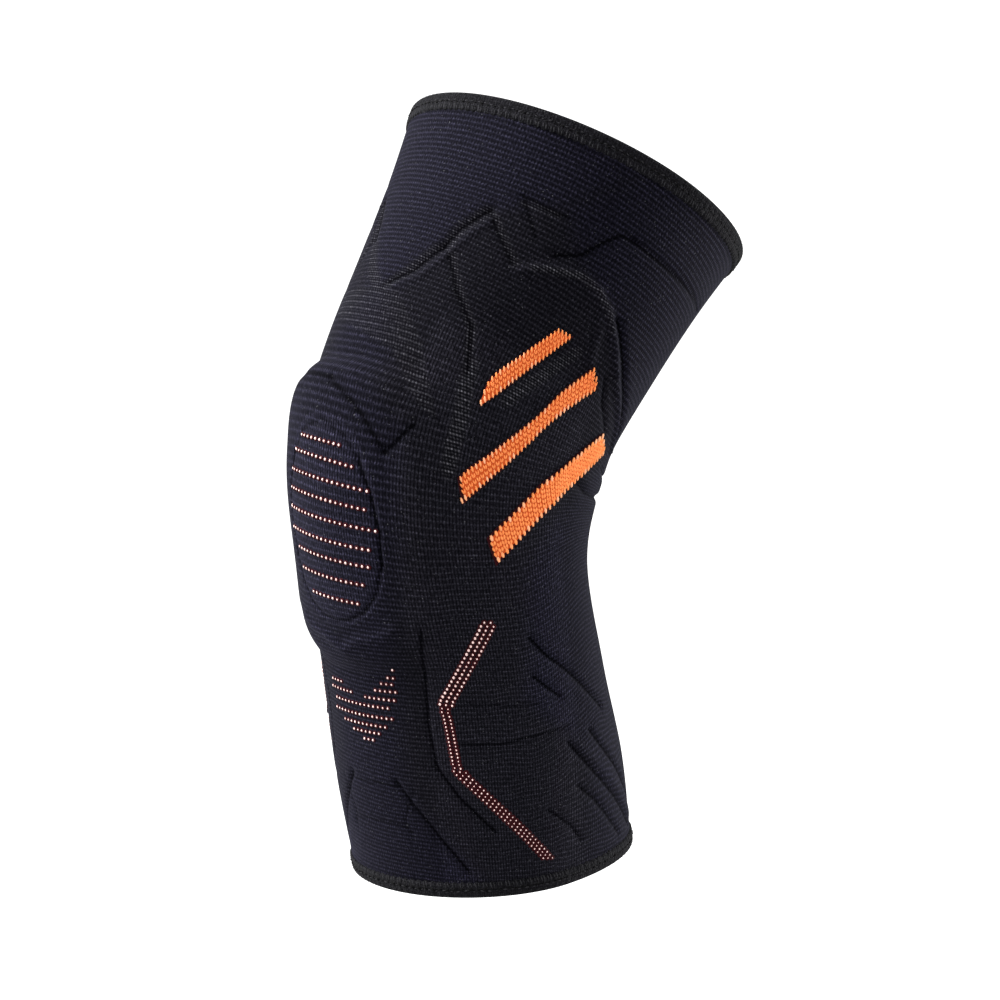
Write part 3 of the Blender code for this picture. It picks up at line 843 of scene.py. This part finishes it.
def places_on_knit(along, turn, lift):
    """Points on the knit with the way the cloth faces and the way up the leg, at each."""
    point = on_knit(along, turn, lift)
    round_the_leg = on_knit(along, turn + 0.5, lift) - on_knit(along, turn - 0.5, lift)
    up_the_leg = on_knit(along + 0.004, turn, lift) - on_knit(along - 0.004, turn, lift)
    facing = np.cross(round_the_leg, up_the_leg)
    facing /= np.linalg.norm(facing, axis=-1, keepdims=True)
    upward = up_the_leg / np.linalg.norm(up_the_leg, axis=-1, keepdims=True)
    return point, facing, upward


def sew(name, tree, along, turn, lift, material, swing=0.0, size=1.0, seed=1, shade=0.5, **sizes):
    """Sew stitches at these places and return them as one plain mesh object."""
    point, facing, upward = places_on_knit(along, turn, lift)
    swing = np.radians(np.broadcast_to(swing, along.shape))[:, None]
    upward = upward * np.cos(swing) + np.cross(upward, facing) * np.sin(swing)
    cloud = bpy.data.meshes.new(name + "_places")
    cloud.from_pydata(point.tolist(), [], [])
    for fact, values in (("facing", facing), ("upward", upward)):
        flat = values.astype(np.float32).ravel()
        cloud.attributes.new(fact, "FLOAT_VECTOR", "POINT").data.foreach_set("vector", flat)
    shades = shade + np.random.default_rng(seed).uniform(-0.3, 0.3, len(along))
    for fact, values in (("size", size + np.zeros(len(along))), ("shade", shades)):
        cloud.attributes.new(fact, "FLOAT", "POINT").data.foreach_set("value", values.astype(np.float32))
    places = add_object(name + "_places", cloud)
    modifier = places.modifiers.new("Sewing", "NODES")
    modifier.node_group = tree
    values = {"Seed": seed, "Material": material, **sizes}
    for item in tree.interface.items_tree:
        if item.in_out == "INPUT" and item.name in values:
            modifier[item.identifier] = values[item.name]
    graph = bpy.context.evaluated_depsgraph_get()
    mesh = bpy.data.meshes.new_from_object(places.evaluated_get(graph))
    mesh.name = name
    bpy.data.objects.remove(places, do_unlink=True)
    return add_object(name, mesh)


def join(pieces):
    """Join pieces into the first of them."""
    with bpy.context.temp_override(active_object=pieces[0], selected_editable_objects=pieces):
        bpy.ops.object.join()
    return pieces[0]


print("a cloud of stitches becomes one plain mesh")

# %% [markdown]
# ## Bright yarn
#
# The orange bars, the small dots and the threads of the hems are real stitches here, so their
# material has only to give each its own slight shade, a deeper root and some fuzz. The stitches at
# the edge of a bar get a painted pale highlight, which their shade sets as well.

# %% Mix the bright yarns


def bright_yarn(name, root, tip, roughness, pale=None):
    """Yarn whose stitches differ a little in shade, and get a painted pale highlight where their shade passes
    1.
    """
    material, tree, shader, bump = new_material(name, roughness, 0.00008)
    shade = zone_value(tree, "shade")
    fibre = use_group(tree, FIBRE, Patches=0.1, Fuzz=0.5)
    mixed = blend(tree, (shade * 0.45 + 0.55) * fibre["Shade"], root, tip)
    feed(tree, blend(tree, span(shade, 1.0, 1.8), mixed, pale or tip), shader.inputs["Base Color"])
    feed(tree, noise(tree, own_place(tree), 2600.0, 2.0), bump.inputs["Height"])
    return material


ORANGE_HIGHLIGHT = (1.0, 0.62, 0.40, 1.0)
ORANGE = ((0.82, 0.150, 0.030, 1.0), (1.0, 0.330, 0.100, 1.0))
ORANGE_YARN = bright_yarn("Orange yarn", *ORANGE, 0.7, ORANGE_HIGHLIGHT)
# Orange yarn between the stitches, painted darker than them as the shade in the gaps
SHADED_ORANGE_GROUND = bright_yarn("Orange ground", (0.46, 0.060, 0.011, 1.0), (0.64, 0.105, 0.022, 1.0), 0.8)
CREAM_YARN = bright_yarn("Cream yarn", (0.80, 0.42, 0.36, 1.0), (1.0, 0.76, 0.72, 1.0), 0.65)
RED_GROUND = bright_yarn("Red ground", (0.018, 0.0020, 0.003, 1.0), (0.036, 0.004, 0.006, 1.0), 0.8)
print("bright yarns:", ORANGE_YARN.name, CREAM_YARN.name, RED_GROUND.name)

# %% [markdown]
# ## The orange bars
#
# Three slanted bars on each side are knitted in orange over the black. Their edges step from column
# to column, because a stitch is either orange or not. So each column that crosses a bar's outline is
# filled with V stitches, spread evenly from edge to edge. The one at either end is a single stitch
# with a painted pale highlight, which makes the teeth. The columns lean a little. Under them a thin
# orange ground closes the gaps, painted darker as the shade between the stitches, and a dark red one
# borders it. Towards their rear ends the bars are painted darker.

# %% Knit the side bars
BARS = {
    # degrees that a column drifts in a metre, degrees between columns, and then along and turn
    # on the upper edge and on the lower edge, from the front end to the rear end
    "upper": (500.0, 1.48, (
        (0.155, 54.5, 0.140, 55.0),
        (0.210, 55.0, 0.195, 60.5),
        (0.300, 61.5, 0.295, 67.5),
        (0.410, 68.0, 0.413, 74.0),
    )),
    "middle": (420.0, 1.60, (
        (-0.015, 52.8, -0.058, 55.0),
        (0.060, 64.0, 0.000, 65.5),
        (0.160, 74.0, 0.080, 74.0),
        (0.266, 80.0, 0.190, 82.0),
        (0.370, 86.5, 0.325, 92.0),
    )),
    "lower": (280.0, 2.15, (
        (-0.120, 63.5, -0.173, 66.0),
        (-0.060, 74.5, -0.120, 76.5),
        (0.012, 85.0, -0.060, 87.0),
        (0.106, 96.0, 0.028, 100.5),
        (0.222, 108.5, 0.171, 116.0),
    )),
}
BAR_ROW_PITCH, SHORTEST_COLUMN = 0.00154, 0.0012
BAR_GROUND_LIFT = 0.0007
# Part of the knit that the columns cross, as turns and as places along the leg
BAR_TURNS, BAR_ALONGS = (45.0, 135.0), (-0.2, 0.45)
# How far the ground and the border reach past the bar's edges, as shares of its height
GROUND_MARGIN, BORDER_MARGIN = -0.09, 0.03
# Above this place the bars are painted darker towards their rear ends, by this much
REAR_DARK_FROM, REAR_DARK_FADE, REAR_DARK_SHADE = 0.26, 0.08, 0.35


def bar_edges(stations, steps, inset=0.0):
    table = np.array(stations, float).T
    marks, shares = np.linspace(0.0, 1.0, table.shape[1]), np.linspace(inset, 1.0 - inset, steps)
    return [smooth_reading(marks, row, shares) for row in table]


def bar_ground(name, stations, side, margin, top, material):
    """A thin closed slab between the bar's edges, wider than the bar by the margin."""
    steps, lanes = 60, 9
    top_along, top_turn, low_along, low_turn = bar_edges(stations, steps, max(0.0, -0.25 * margin))
    share = np.linspace(-margin, 1.0 + margin, lanes)
    share = np.concatenate([share, share[::-1]])
    along = top_along[:, None] + share * (low_along - top_along)[:, None]
    turn = top_turn[:, None] + share * (low_turn - top_turn)[:, None]
    lift = np.repeat([top, -0.0002], lanes) + relief(along, turn)
    points = on_knit(along, side * turn, lift).reshape(-1, 3)
    count = 2 * lanes
    faces = ring_faces(steps, count)[: (steps - 1) * count]
    faces += [list(range(count))[::-1], list(range((steps - 1) * count, steps * count))]
    if side > 0:
        faces = [face[::-1] for face in faces]
    mesh = bpy.data.meshes.new(name)
    mesh.from_pydata(points.tolist(), [], faces)
    mesh.materials.append(material)
    return add_object(name, mesh)


def side_bar(place, side):
    drift, spacing, stations = BARS[place]
    name = f"side_bar_{place}_{'right' if side > 0 else 'left'}"
    top_along, top_turn, low_along, low_turn = bar_edges(stations, 40)
    outline = list(zip(top_along, top_turn)) + list(zip(low_along[::-1], low_turn[::-1]))
    chart = []
    for column in np.arange(*BAR_TURNS, spacing):
        heights = distance_of(np.linspace(*BAR_ALONGS, 1301))
        heights = heights[inside(along_of(heights), column - drift * heights, outline)]
        if len(heights) and heights[-1] - heights[0] > SHORTEST_COLUMN:
            count = max(1, round((heights[-1] - heights[0]) / BAR_ROW_PITCH))
            step = (heights[-1] - heights[0]) / count
            for row in range(count):
                height = heights[0] + (row + 0.5) * step
                chart.append((height, column - drift * height, row in (0, count - 1)))
    distance, turn, edge = np.array(chart).T
    along, edge = along_of(distance), edge > 0.5
    lift = BAR_GROUND_LIFT + 0.00015 + relief(along, turn)
    tilt = math.atan(math.radians(drift) * MEAN_RADIUS)
    wide = math.radians(spacing) * MEAN_RADIUS * math.cos(tilt)
    deeper = REAR_DARK_SHADE * smooth_step((along - REAR_DARK_FROM) / REAR_DARK_FADE)
    swing = -side * math.degrees(tilt)
    middle = sew(
        name + "_knit", V_STITCH, along[~edge], side * turn[~edge], lift[~edge], ORANGE_YARN,
        swing=swing, seed=3, shade=0.55 - deeper[~edge],
        Length=0.0020, Width=0.50 * wide, Height=0.0006, Splay=0.22, Unevenness=0.06,
    )
    # Edge stitches: a shade past 1 gives them a painted pale highlight
    teeth = sew(
        name + "_teeth", SINGLE_STITCH, along[edge], side * turn[edge], lift[edge], ORANGE_YARN,
        swing=swing, seed=5, shade=1.15 - deeper[edge],
        Length=0.0026, Width=0.66 * wide, Height=0.0007, Unevenness=0.08,
    )
    grounds = [
        bar_ground(name + part, stations, side, margin, BAR_GROUND_LIFT + lift, yarn)
        for part, margin, lift, yarn in (
            ("_ground", GROUND_MARGIN, 0.0001, SHADED_ORANGE_GROUND), ("_border", BORDER_MARGIN, -0.0002, RED_GROUND)
        )
    ]
    return join([middle, teeth, *grounds]), name


for place in BARS:
    for side in (1, -1):
        bar, node = side_bar(place, side)
        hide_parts(node)
        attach(bar, "root")
        print(bar.name, triangles(bar), "triangles")

# %% [markdown]
# ## Dots on the kneecap, a small V and a zigzag line
#
# Nine rows of pale dots cross the oval, a small V of dots lies below it, and a dotted line runs down
# each side of the shin in a zigzag. Each dot is one pale stitch on a dark red one. The rows are
# charted one by one: how far up the leg each row is, and from which turn to which it runs.

# %% Chart and sew the dots
DOT_TURN = 2.0 * 360.0 / STITCHES_ROUND
ROW_FALL = 0.00043
KNEECAP_ROWS = (
    # along at the middle of the front, furthest turn to the left and to the right
    (0.012, -13.0, 11.0), (-0.014, -18.0, 17.0), (-0.043, -21.0, 22.0), (-0.071, -22.0, 22.5),
    (-0.101, -24.0, 24.5), (-0.134, -23.0, 22.5), (-0.164, -21.0, 20.0), (-0.199, -18.0, 17.0),
    (-0.239, -13.5, 13.0),
)
V_ROWS = (
    # along, first and last turn: the right arm, the left arm, and the rows where they meet
    (-0.410, 19.0, 20.0), (-0.434, 14.0, 18.5), (-0.451, 10.0, 19.0), (-0.470, 6.5, 18.0),
    (-0.466, -19.5, -12.0), (-0.487, -20.5, -6.0), (-0.492, 2.0, 18.0), (-0.514, -19.5, 15.5),
    (-0.541, -20.0, 16.0), (-0.564, -15.0, 12.0), (-0.583, -9.0, 8.0), (-0.602, -1.5, 4.0),
)
ZIGZAG = (
    # along, turn of its middle, dots across
    (-0.283, 61.4, 1.0), (-0.300, 59.6, 2.0), (-0.312, 59.2, 3.0), (-0.489, 39.0, 3.0),
    (-0.515, 37.5, 2.0), (-0.532, 38.2, 2.0), (-0.655, 40.2, 2.0), (-0.676, 42.0, 3.0),
    (-0.915, 77.5, 3.0), (-0.924, 78.5, 3.0),
)
ZIGZAG_ROW_PITCH = 0.00147
ZIGZAG_FALL = 0.0022
ZIGZAG_MILLIMETRES = (-142.0, -45.0)
ZIGZAG_BEND = -0.50
# Degrees by which the line on the left lies further back
HIDDEN_SHIFT = 9.0


def row_turns(first, last, offset):
    """Turns of a row of dots on the knit's grid."""
    turns = (np.arange(-60, 61) + offset) * DOT_TURN
    return turns[(turns >= first) & (turns <= last)]


def dotted(name, along, turn, lift, scale, seed, size=1.0):
    """Pale stitches, each on a flatter and wider dark red one."""
    pale = sew(
        name, SINGLE_STITCH, along, turn, lift + 0.00030, CREAM_YARN,
        size=size, seed=seed, Length=0.00105 * scale, Width=0.00092 * scale, Height=0.00060, Unevenness=0.15,
    )
    ground = sew(
        name + "_ground", SINGLE_STITCH, along, turn, lift + 0.00005, RED_GROUND,
        seed=seed + 1, Length=0.00225 * scale, Width=0.00265 * scale, Height=0.00065, Unevenness=0.05,
    )
    piece = join([pale, ground])
    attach(piece, "root")
    print(name, len(along), "dots,", triangles(piece), "triangles")


def face_lift(along, turn):
    """Lift of the outermost cloth there: the pad's face where it stands proud, else the knit's."""
    rings = []
    for ring in np.linspace(0.02, 2.0, 100):
        pad_along, pad_turn, height = pad_places(ring)
        rings.append((pad_along, pad_turn, pad_lift(ring, height)))
    pad_along, pad_turn, lift = np.concatenate(rings, axis=-1)
    away = flat_place(along, turn)[:, None] - flat_place(pad_along, pad_turn)
    distance = np.linalg.norm(away, axis=-1)
    there = np.where(distance.min(axis=1) < 0.002, lift[distance.argmin(axis=1)], 0.0)
    return np.maximum(there, 0.0) + relief(along, turn)


for name, rows, fall, scale, seed in (
    ("kneecap_dots", KNEECAP_ROWS, ROW_FALL, 1.0, 11),
    ("small_v_dots", V_ROWS, 0.0, 0.9, 21),
):
    chart = []
    for number, (along, first, last) in enumerate(rows):
        chart += [(along - fall * turn, turn) for turn in row_turns(first, last, number % 2 / 2.0)]
    along, turn = np.array(chart).T
    dotted(name, along, turn, face_lift(along, turn), scale, seed)

chart = []
station, middle, across = np.array(ZIGZAG)[::-1].T
for along in along_of(np.arange(*ZIGZAG_MILLIMETRES, 1000.0 * ZIGZAG_ROW_PITCH) / 1000.0):
    if station[0] <= along <= station[-1]:
        count = int(round(np.interp(along, station, across)))
        centre = np.interp(along, station, middle)
        for place in np.arange(count) - (count - 1) / 2.0:
            # The dots are larger above the bend, and there the column nearest the front stands out
            size = 0.95 if along > ZIGZAG_BEND else 0.73
            if along > ZIGZAG_BEND and place < 0.0 and count == 3:
                size *= 1.25
            chart.append((along - ZIGZAG_FALL * place, centre + place * DOT_TURN, size))
along, turn, size = np.array(chart).T
dotted("zigzag_dots_right", along, turn, relief(along, turn), 0.95, 31, size)
turn = turn + HIDDEN_SHIFT
dotted("zigzag_dots_left", along, -turn, relief(along, turn), 0.95, 31, size)

# %% [markdown]
# ## The hems
#
# Each end is folded over and closed with an overlock seam, in a charcoal elastic that is a little
# thicker than the knit. The band is a ring with a rounded free edge. Its edge towards the knit is
# scalloped where the overlock thread pulls it in, and the threads themselves are sewn on top: a row
# of black dashes along the middle with bright stitches between them, and slanted legs that cross
# onto the knit.

# %% Make the hem material


def hem_material():
    material, tree, shader, bump = new_material("Charcoal hem", 0.85, 0.00035)
    stitch, row = stitch_counts(tree)
    yarn = use_group(tree, KNITTED_YARN, Stitch=stitch * 1.2, Row=row * 1.3, Rib=0.35, Floats=0.0)
    fibre = use_group(tree, FIBRE, Patches=0.5, Fuzz=1.9)
    height = yarn["Height"] * use_group(tree, TENSION, Stitch=stitch, Row=row, Amount=2.2)["Share"]
    # Painted shade: the colour darkens between the loops, where the yarn sits low
    shade = (height * 1.2 + 0.25) * fibre["Shade"]
    colour = blend(tree, shade * 0.5, (0.0008, 0.0008, 0.0010, 1.0), (0.0152, 0.0148, 0.0190, 1.0))
    colour = blend(tree, fibre["Speck"] * 0.5, colour, (0.10, 0.10, 0.10, 1.0))
    feed(tree, colour, shader.inputs["Base Color"])
    feed(tree, height * fibre["Shade"], bump.inputs["Height"])
    return material


CHARCOAL_HEM = hem_material()
HEM_THREAD = bright_yarn("Hem thread", (0.008, 0.008, 0.0090, 1.0), (0.030, 0.0295, 0.033, 1.0), 0.75)
BLACK_THREAD = bright_yarn("Black thread", (0.0008, 0.0008, 0.0010, 1.0), (0.0020, 0.0020, 0.0024, 1.0), 0.75)
print("hem finishes:", CHARCOAL_HEM.name, HEM_THREAD.name, BLACK_THREAD.name)

# %% Fold and sew the hems
HEM_COLUMNS = 540
OVERLOCK_PITCH = 3.2
# Drops of the threads from the free edge as shares of the band's height, and how uneven they are
DASH_DROP, BRIGHT_DROP, LEG_DROPS = 0.60, 0.52, (0.84, 0.86)
DASH_SLACK, LEG_SLACK = 0.0003, 0.0002
# Legs stand in pairs, spread about each dash by this share of the pitch, at these slants in degrees
LEG_SPREAD, LEG_SLANTS, SLANT_SLACK = 0.20, (-16.0, -10.0), 8.0


def hem_band(name, edge, length, height, pitch_degrees):
    """A ring with a rounded free edge and a scalloped inner one. Edge is -1 or +1."""
    outside = HEM_THICKNESS - KNIT_THICKNESS
    bulge = HEM_THICKNESS / 2.0
    middle = outside - bulge
    bend = np.linspace(0.0, np.pi, 9)
    # Drop from the free edge, and lift off the knit's plain outer face: up the outside with its
    # groove for the dashes, round the fold, and down the inside
    profile = [
        (height + 0.0007, -0.0006), (height + 0.0001, outside * 0.65), (height * 0.8, outside),
        (height * 0.62, outside * 1.05), (height * 0.55, outside * 0.55), (height * 0.48, outside * 1.05),
        (height * 0.3, outside),
        *zip(bulge * (1.0 - np.sin(bend)), middle + bulge * np.cos(bend)),
        (height * 0.4, -KNIT_THICKNESS), (height + 0.0007, -KNIT_THICKNESS),
    ]
    drops, lifts = np.array(profile).T
    turns = np.arange(HEM_COLUMNS) * 360.0 / HEM_COLUMNS - 180.0
    drop, turn = np.meshgrid(drops, turns, indexing="ij")
    lift = np.repeat(lifts[:, None], HEM_COLUMNS, axis=1)
    scallop = 0.5 + 0.5 * np.cos(2.0 * np.pi * turn / pitch_degrees)
    near_knit = smooth_step((drop / height - 0.6) / 0.4) * (lift > -0.001)
    drop = drop + near_knit * (scallop - 0.5) * 0.0006
    lift = lift + (lift > 0.0) * (scallop - 0.5) * 0.00018
    along = edge * (1.0 - drop / length)
    points = on_knit(along, turn, lift)
    faces = ring_faces(len(drops), HEM_COLUMNS)
    if edge > 0:
        faces = [face[::-1] for face in faces]
    return cloth_mesh(name, points.reshape(-1, 3), faces, along.ravel(), turn.ravel(), CHARCOAL_HEM)


def hem(name, edge, length, height, mean_radius):
    pitch = 360.0 / round(2000.0 * math.pi * mean_radius / OVERLOCK_PITCH)
    band = hem_band(name, edge, length, height, pitch)
    outside = HEM_THICKNESS - KNIT_THICKNESS
    turns = np.arange(round(360.0 / pitch)) * pitch - 180.0
    uneven = np.random.default_rng(47).uniform(-1.0, 1.0, (4, len(turns)))
    drop = height * DASH_DROP + DASH_SLACK * uneven[0]
    dashes = sew(
        name + "_dashes", SINGLE_STITCH, edge * (1.0 - drop / length), turns, outside, BLACK_THREAD,
        swing=90.0, seed=41, Length=0.0015, Width=0.00095, Height=0.00070, Unevenness=0.25,
    )
    drop = height * BRIGHT_DROP + DASH_SLACK * uneven[1]
    between = turns + pitch * (0.5 + 0.1 * uneven[2])
    bright = sew(
        name + "_bright", SINGLE_STITCH, edge * (1.0 - drop / length), between, outside * 0.90, HEM_THREAD,
        swing=90.0 + 20.0 * uneven[3], seed=42, Length=0.0015, Width=0.00055, Height=0.00050, Unevenness=0.3,
    )
    drop = np.concatenate([height * share + LEG_SLACK * off for share, off in zip(LEG_DROPS, uneven[2:])])
    pairs = np.concatenate([turns - LEG_SPREAD * pitch, turns + LEG_SPREAD * pitch])
    slants = np.concatenate([slant + SLANT_SLACK * off for slant, off in zip(LEG_SLANTS, uneven)])
    legs = sew(
        name + "_legs", SINGLE_STITCH, edge * (1.0 - drop / length), pairs, outside * 0.75, HEM_THREAD,
        swing=slants, seed=43, Length=0.0027, Width=0.00050, Height=0.00055, Unevenness=0.2,
    )
    return join([band, dashes, bright, legs])


for name, node, edge, length, height, radius in (
    ("upper_hem", "upper_hem_band", 1, THIGH_LENGTH, UPPER_HEM_HEIGHT, (UPPER_WIDTH + UPPER_DEPTH) / 4.0),
    ("lower_hem", "lower_hem_band", -1, SHIN_LENGTH, LOWER_HEM_HEIGHT, (LOWER_WIDTH + LOWER_DEPTH) / 4.0),
):
    band = hem(name, edge, length, height, radius)
    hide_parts(node)
    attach(band, "root")
    print(band.name, triangles(band), "triangles")

# %% [markdown]
# ## Camera, light and floor
#
# The picture this follows was taken from the front right, a little above the knee, against white.
# A narrow soft box high on the left and one low behind draw the edges, and a broad one low in front
# fills the side that faces the camera.

# %% Set the camera
VIEW_AZIMUTH, VIEW_ELEVATION = 47.5, 8.0
VIEW_DISTANCE = 1.650
PIXELS_A_METRE = 2600.0
KNEE_PIXEL = (459.0, 473.0)


def toward(azimuth, elevation):
    """The direction from the knee to a place round it: 0 degrees is the front, 90 the right."""
    turn, rise = math.radians(azimuth), math.radians(elevation)
    return Vector((math.sin(turn) * math.cos(rise), -math.cos(turn) * math.cos(rise), math.sin(rise)))


def aim(thing, back):
    """Turn a camera or a lamp so that this direction lies behind it."""
    thing.rotation_euler = (-back).to_track_quat("-Z", "Y").to_euler()


def set_camera():
    back, right = toward(VIEW_AZIMUTH, VIEW_ELEVATION), toward(VIEW_AZIMUTH + 90.0, 0.0)
    data = bpy.data.cameras.new("Camera")
    data.lens = data.sensor_width * PIXELS_A_METRE * VIEW_DISTANCE / 1000.0
    camera = add_object("Camera", data)
    aside, below = ((500.0 - pixel) / PIXELS_A_METRE for pixel in KNEE_PIXEL)
    camera.location = back * VIEW_DISTANCE + right * aside - back.cross(right) * below
    aim(camera, back)
    bpy.context.scene.camera = camera
    return camera


print("lens:", round(set_camera().data.lens, 1), "mm")

# %% Light the studio
FLOOR_HEIGHT, FLOOR_HALF = -0.30, 30.0


def soft_box(name, azimuth, elevation, distance, size, strength):
    """A rectangular area light that faces the knee from a direction."""
    data = bpy.data.lights.new(name, "AREA")
    data.shape = "RECTANGLE"
    data.size, data.size_y = size
    data.energy = strength
    lamp = add_object(name, data)
    lamp.location = toward(azimuth, elevation) * distance
    aim(lamp, toward(azimuth, elevation))


def camera_ray(tree):
    """1 where the camera looks and 0 for other light, so that the ground looks whiter than it shines."""
    return Number(tree, tree.nodes.new("ShaderNodeLightPath").outputs["Is Camera Ray"])


def pale_world():
    world = bpy.data.worlds.new("Studio")
    world.use_nodes = True
    tree = world.node_tree
    tree.nodes["Background"].inputs["Color"].default_value = (1.0, 1.0, 1.0, 1.0)
    feed(tree, camera_ray(tree) * 0.05 + 0.95, tree.nodes["Background"].inputs["Strength"])
    bpy.context.scene.world = world


def pale_floor():
    mesh = bpy.data.meshes.new("studio_floor")
    square = ((-1, -1), (1, -1), (1, 1), (-1, 1))
    mesh.from_pydata([(x * FLOOR_HALF, y * FLOOR_HALF, FLOOR_HEIGHT) for x, y in square], [], [(0, 1, 2, 3)])
    material = bpy.data.materials.new("Studio floor")
    material.use_nodes = True
    tree = material.node_tree
    shader = tree.nodes["Principled BSDF"]
    shader.inputs["Base Color"].default_value = (0.30, 0.30, 0.30, 1.0)
    shader.inputs["Roughness"].default_value = 0.9
    shader.inputs["Emission Color"].default_value = (1.0, 1.0, 1.0, 1.0)
    feed(tree, camera_ray(tree) * 0.90 + 0.10, shader.inputs["Emission Strength"])
    mesh.materials.append(material)
    floor = add_object("studio_floor", mesh)


pale_world()
pale_floor()
soft_box("Left box", -42.0, 42.0, 1.2, (0.5, 1.2), 42.0)
soft_box("Right box", 162.0, -8.0, 1.2, (0.6, 1.2), 20.0)
soft_box("Front box", 56.0, -20.0, 1.6, (1.2, 1.2), 21.0)
bpy.context.scene.view_settings.view_transform = "Standard"
print("floor at", FLOOR_HEIGHT, "m")
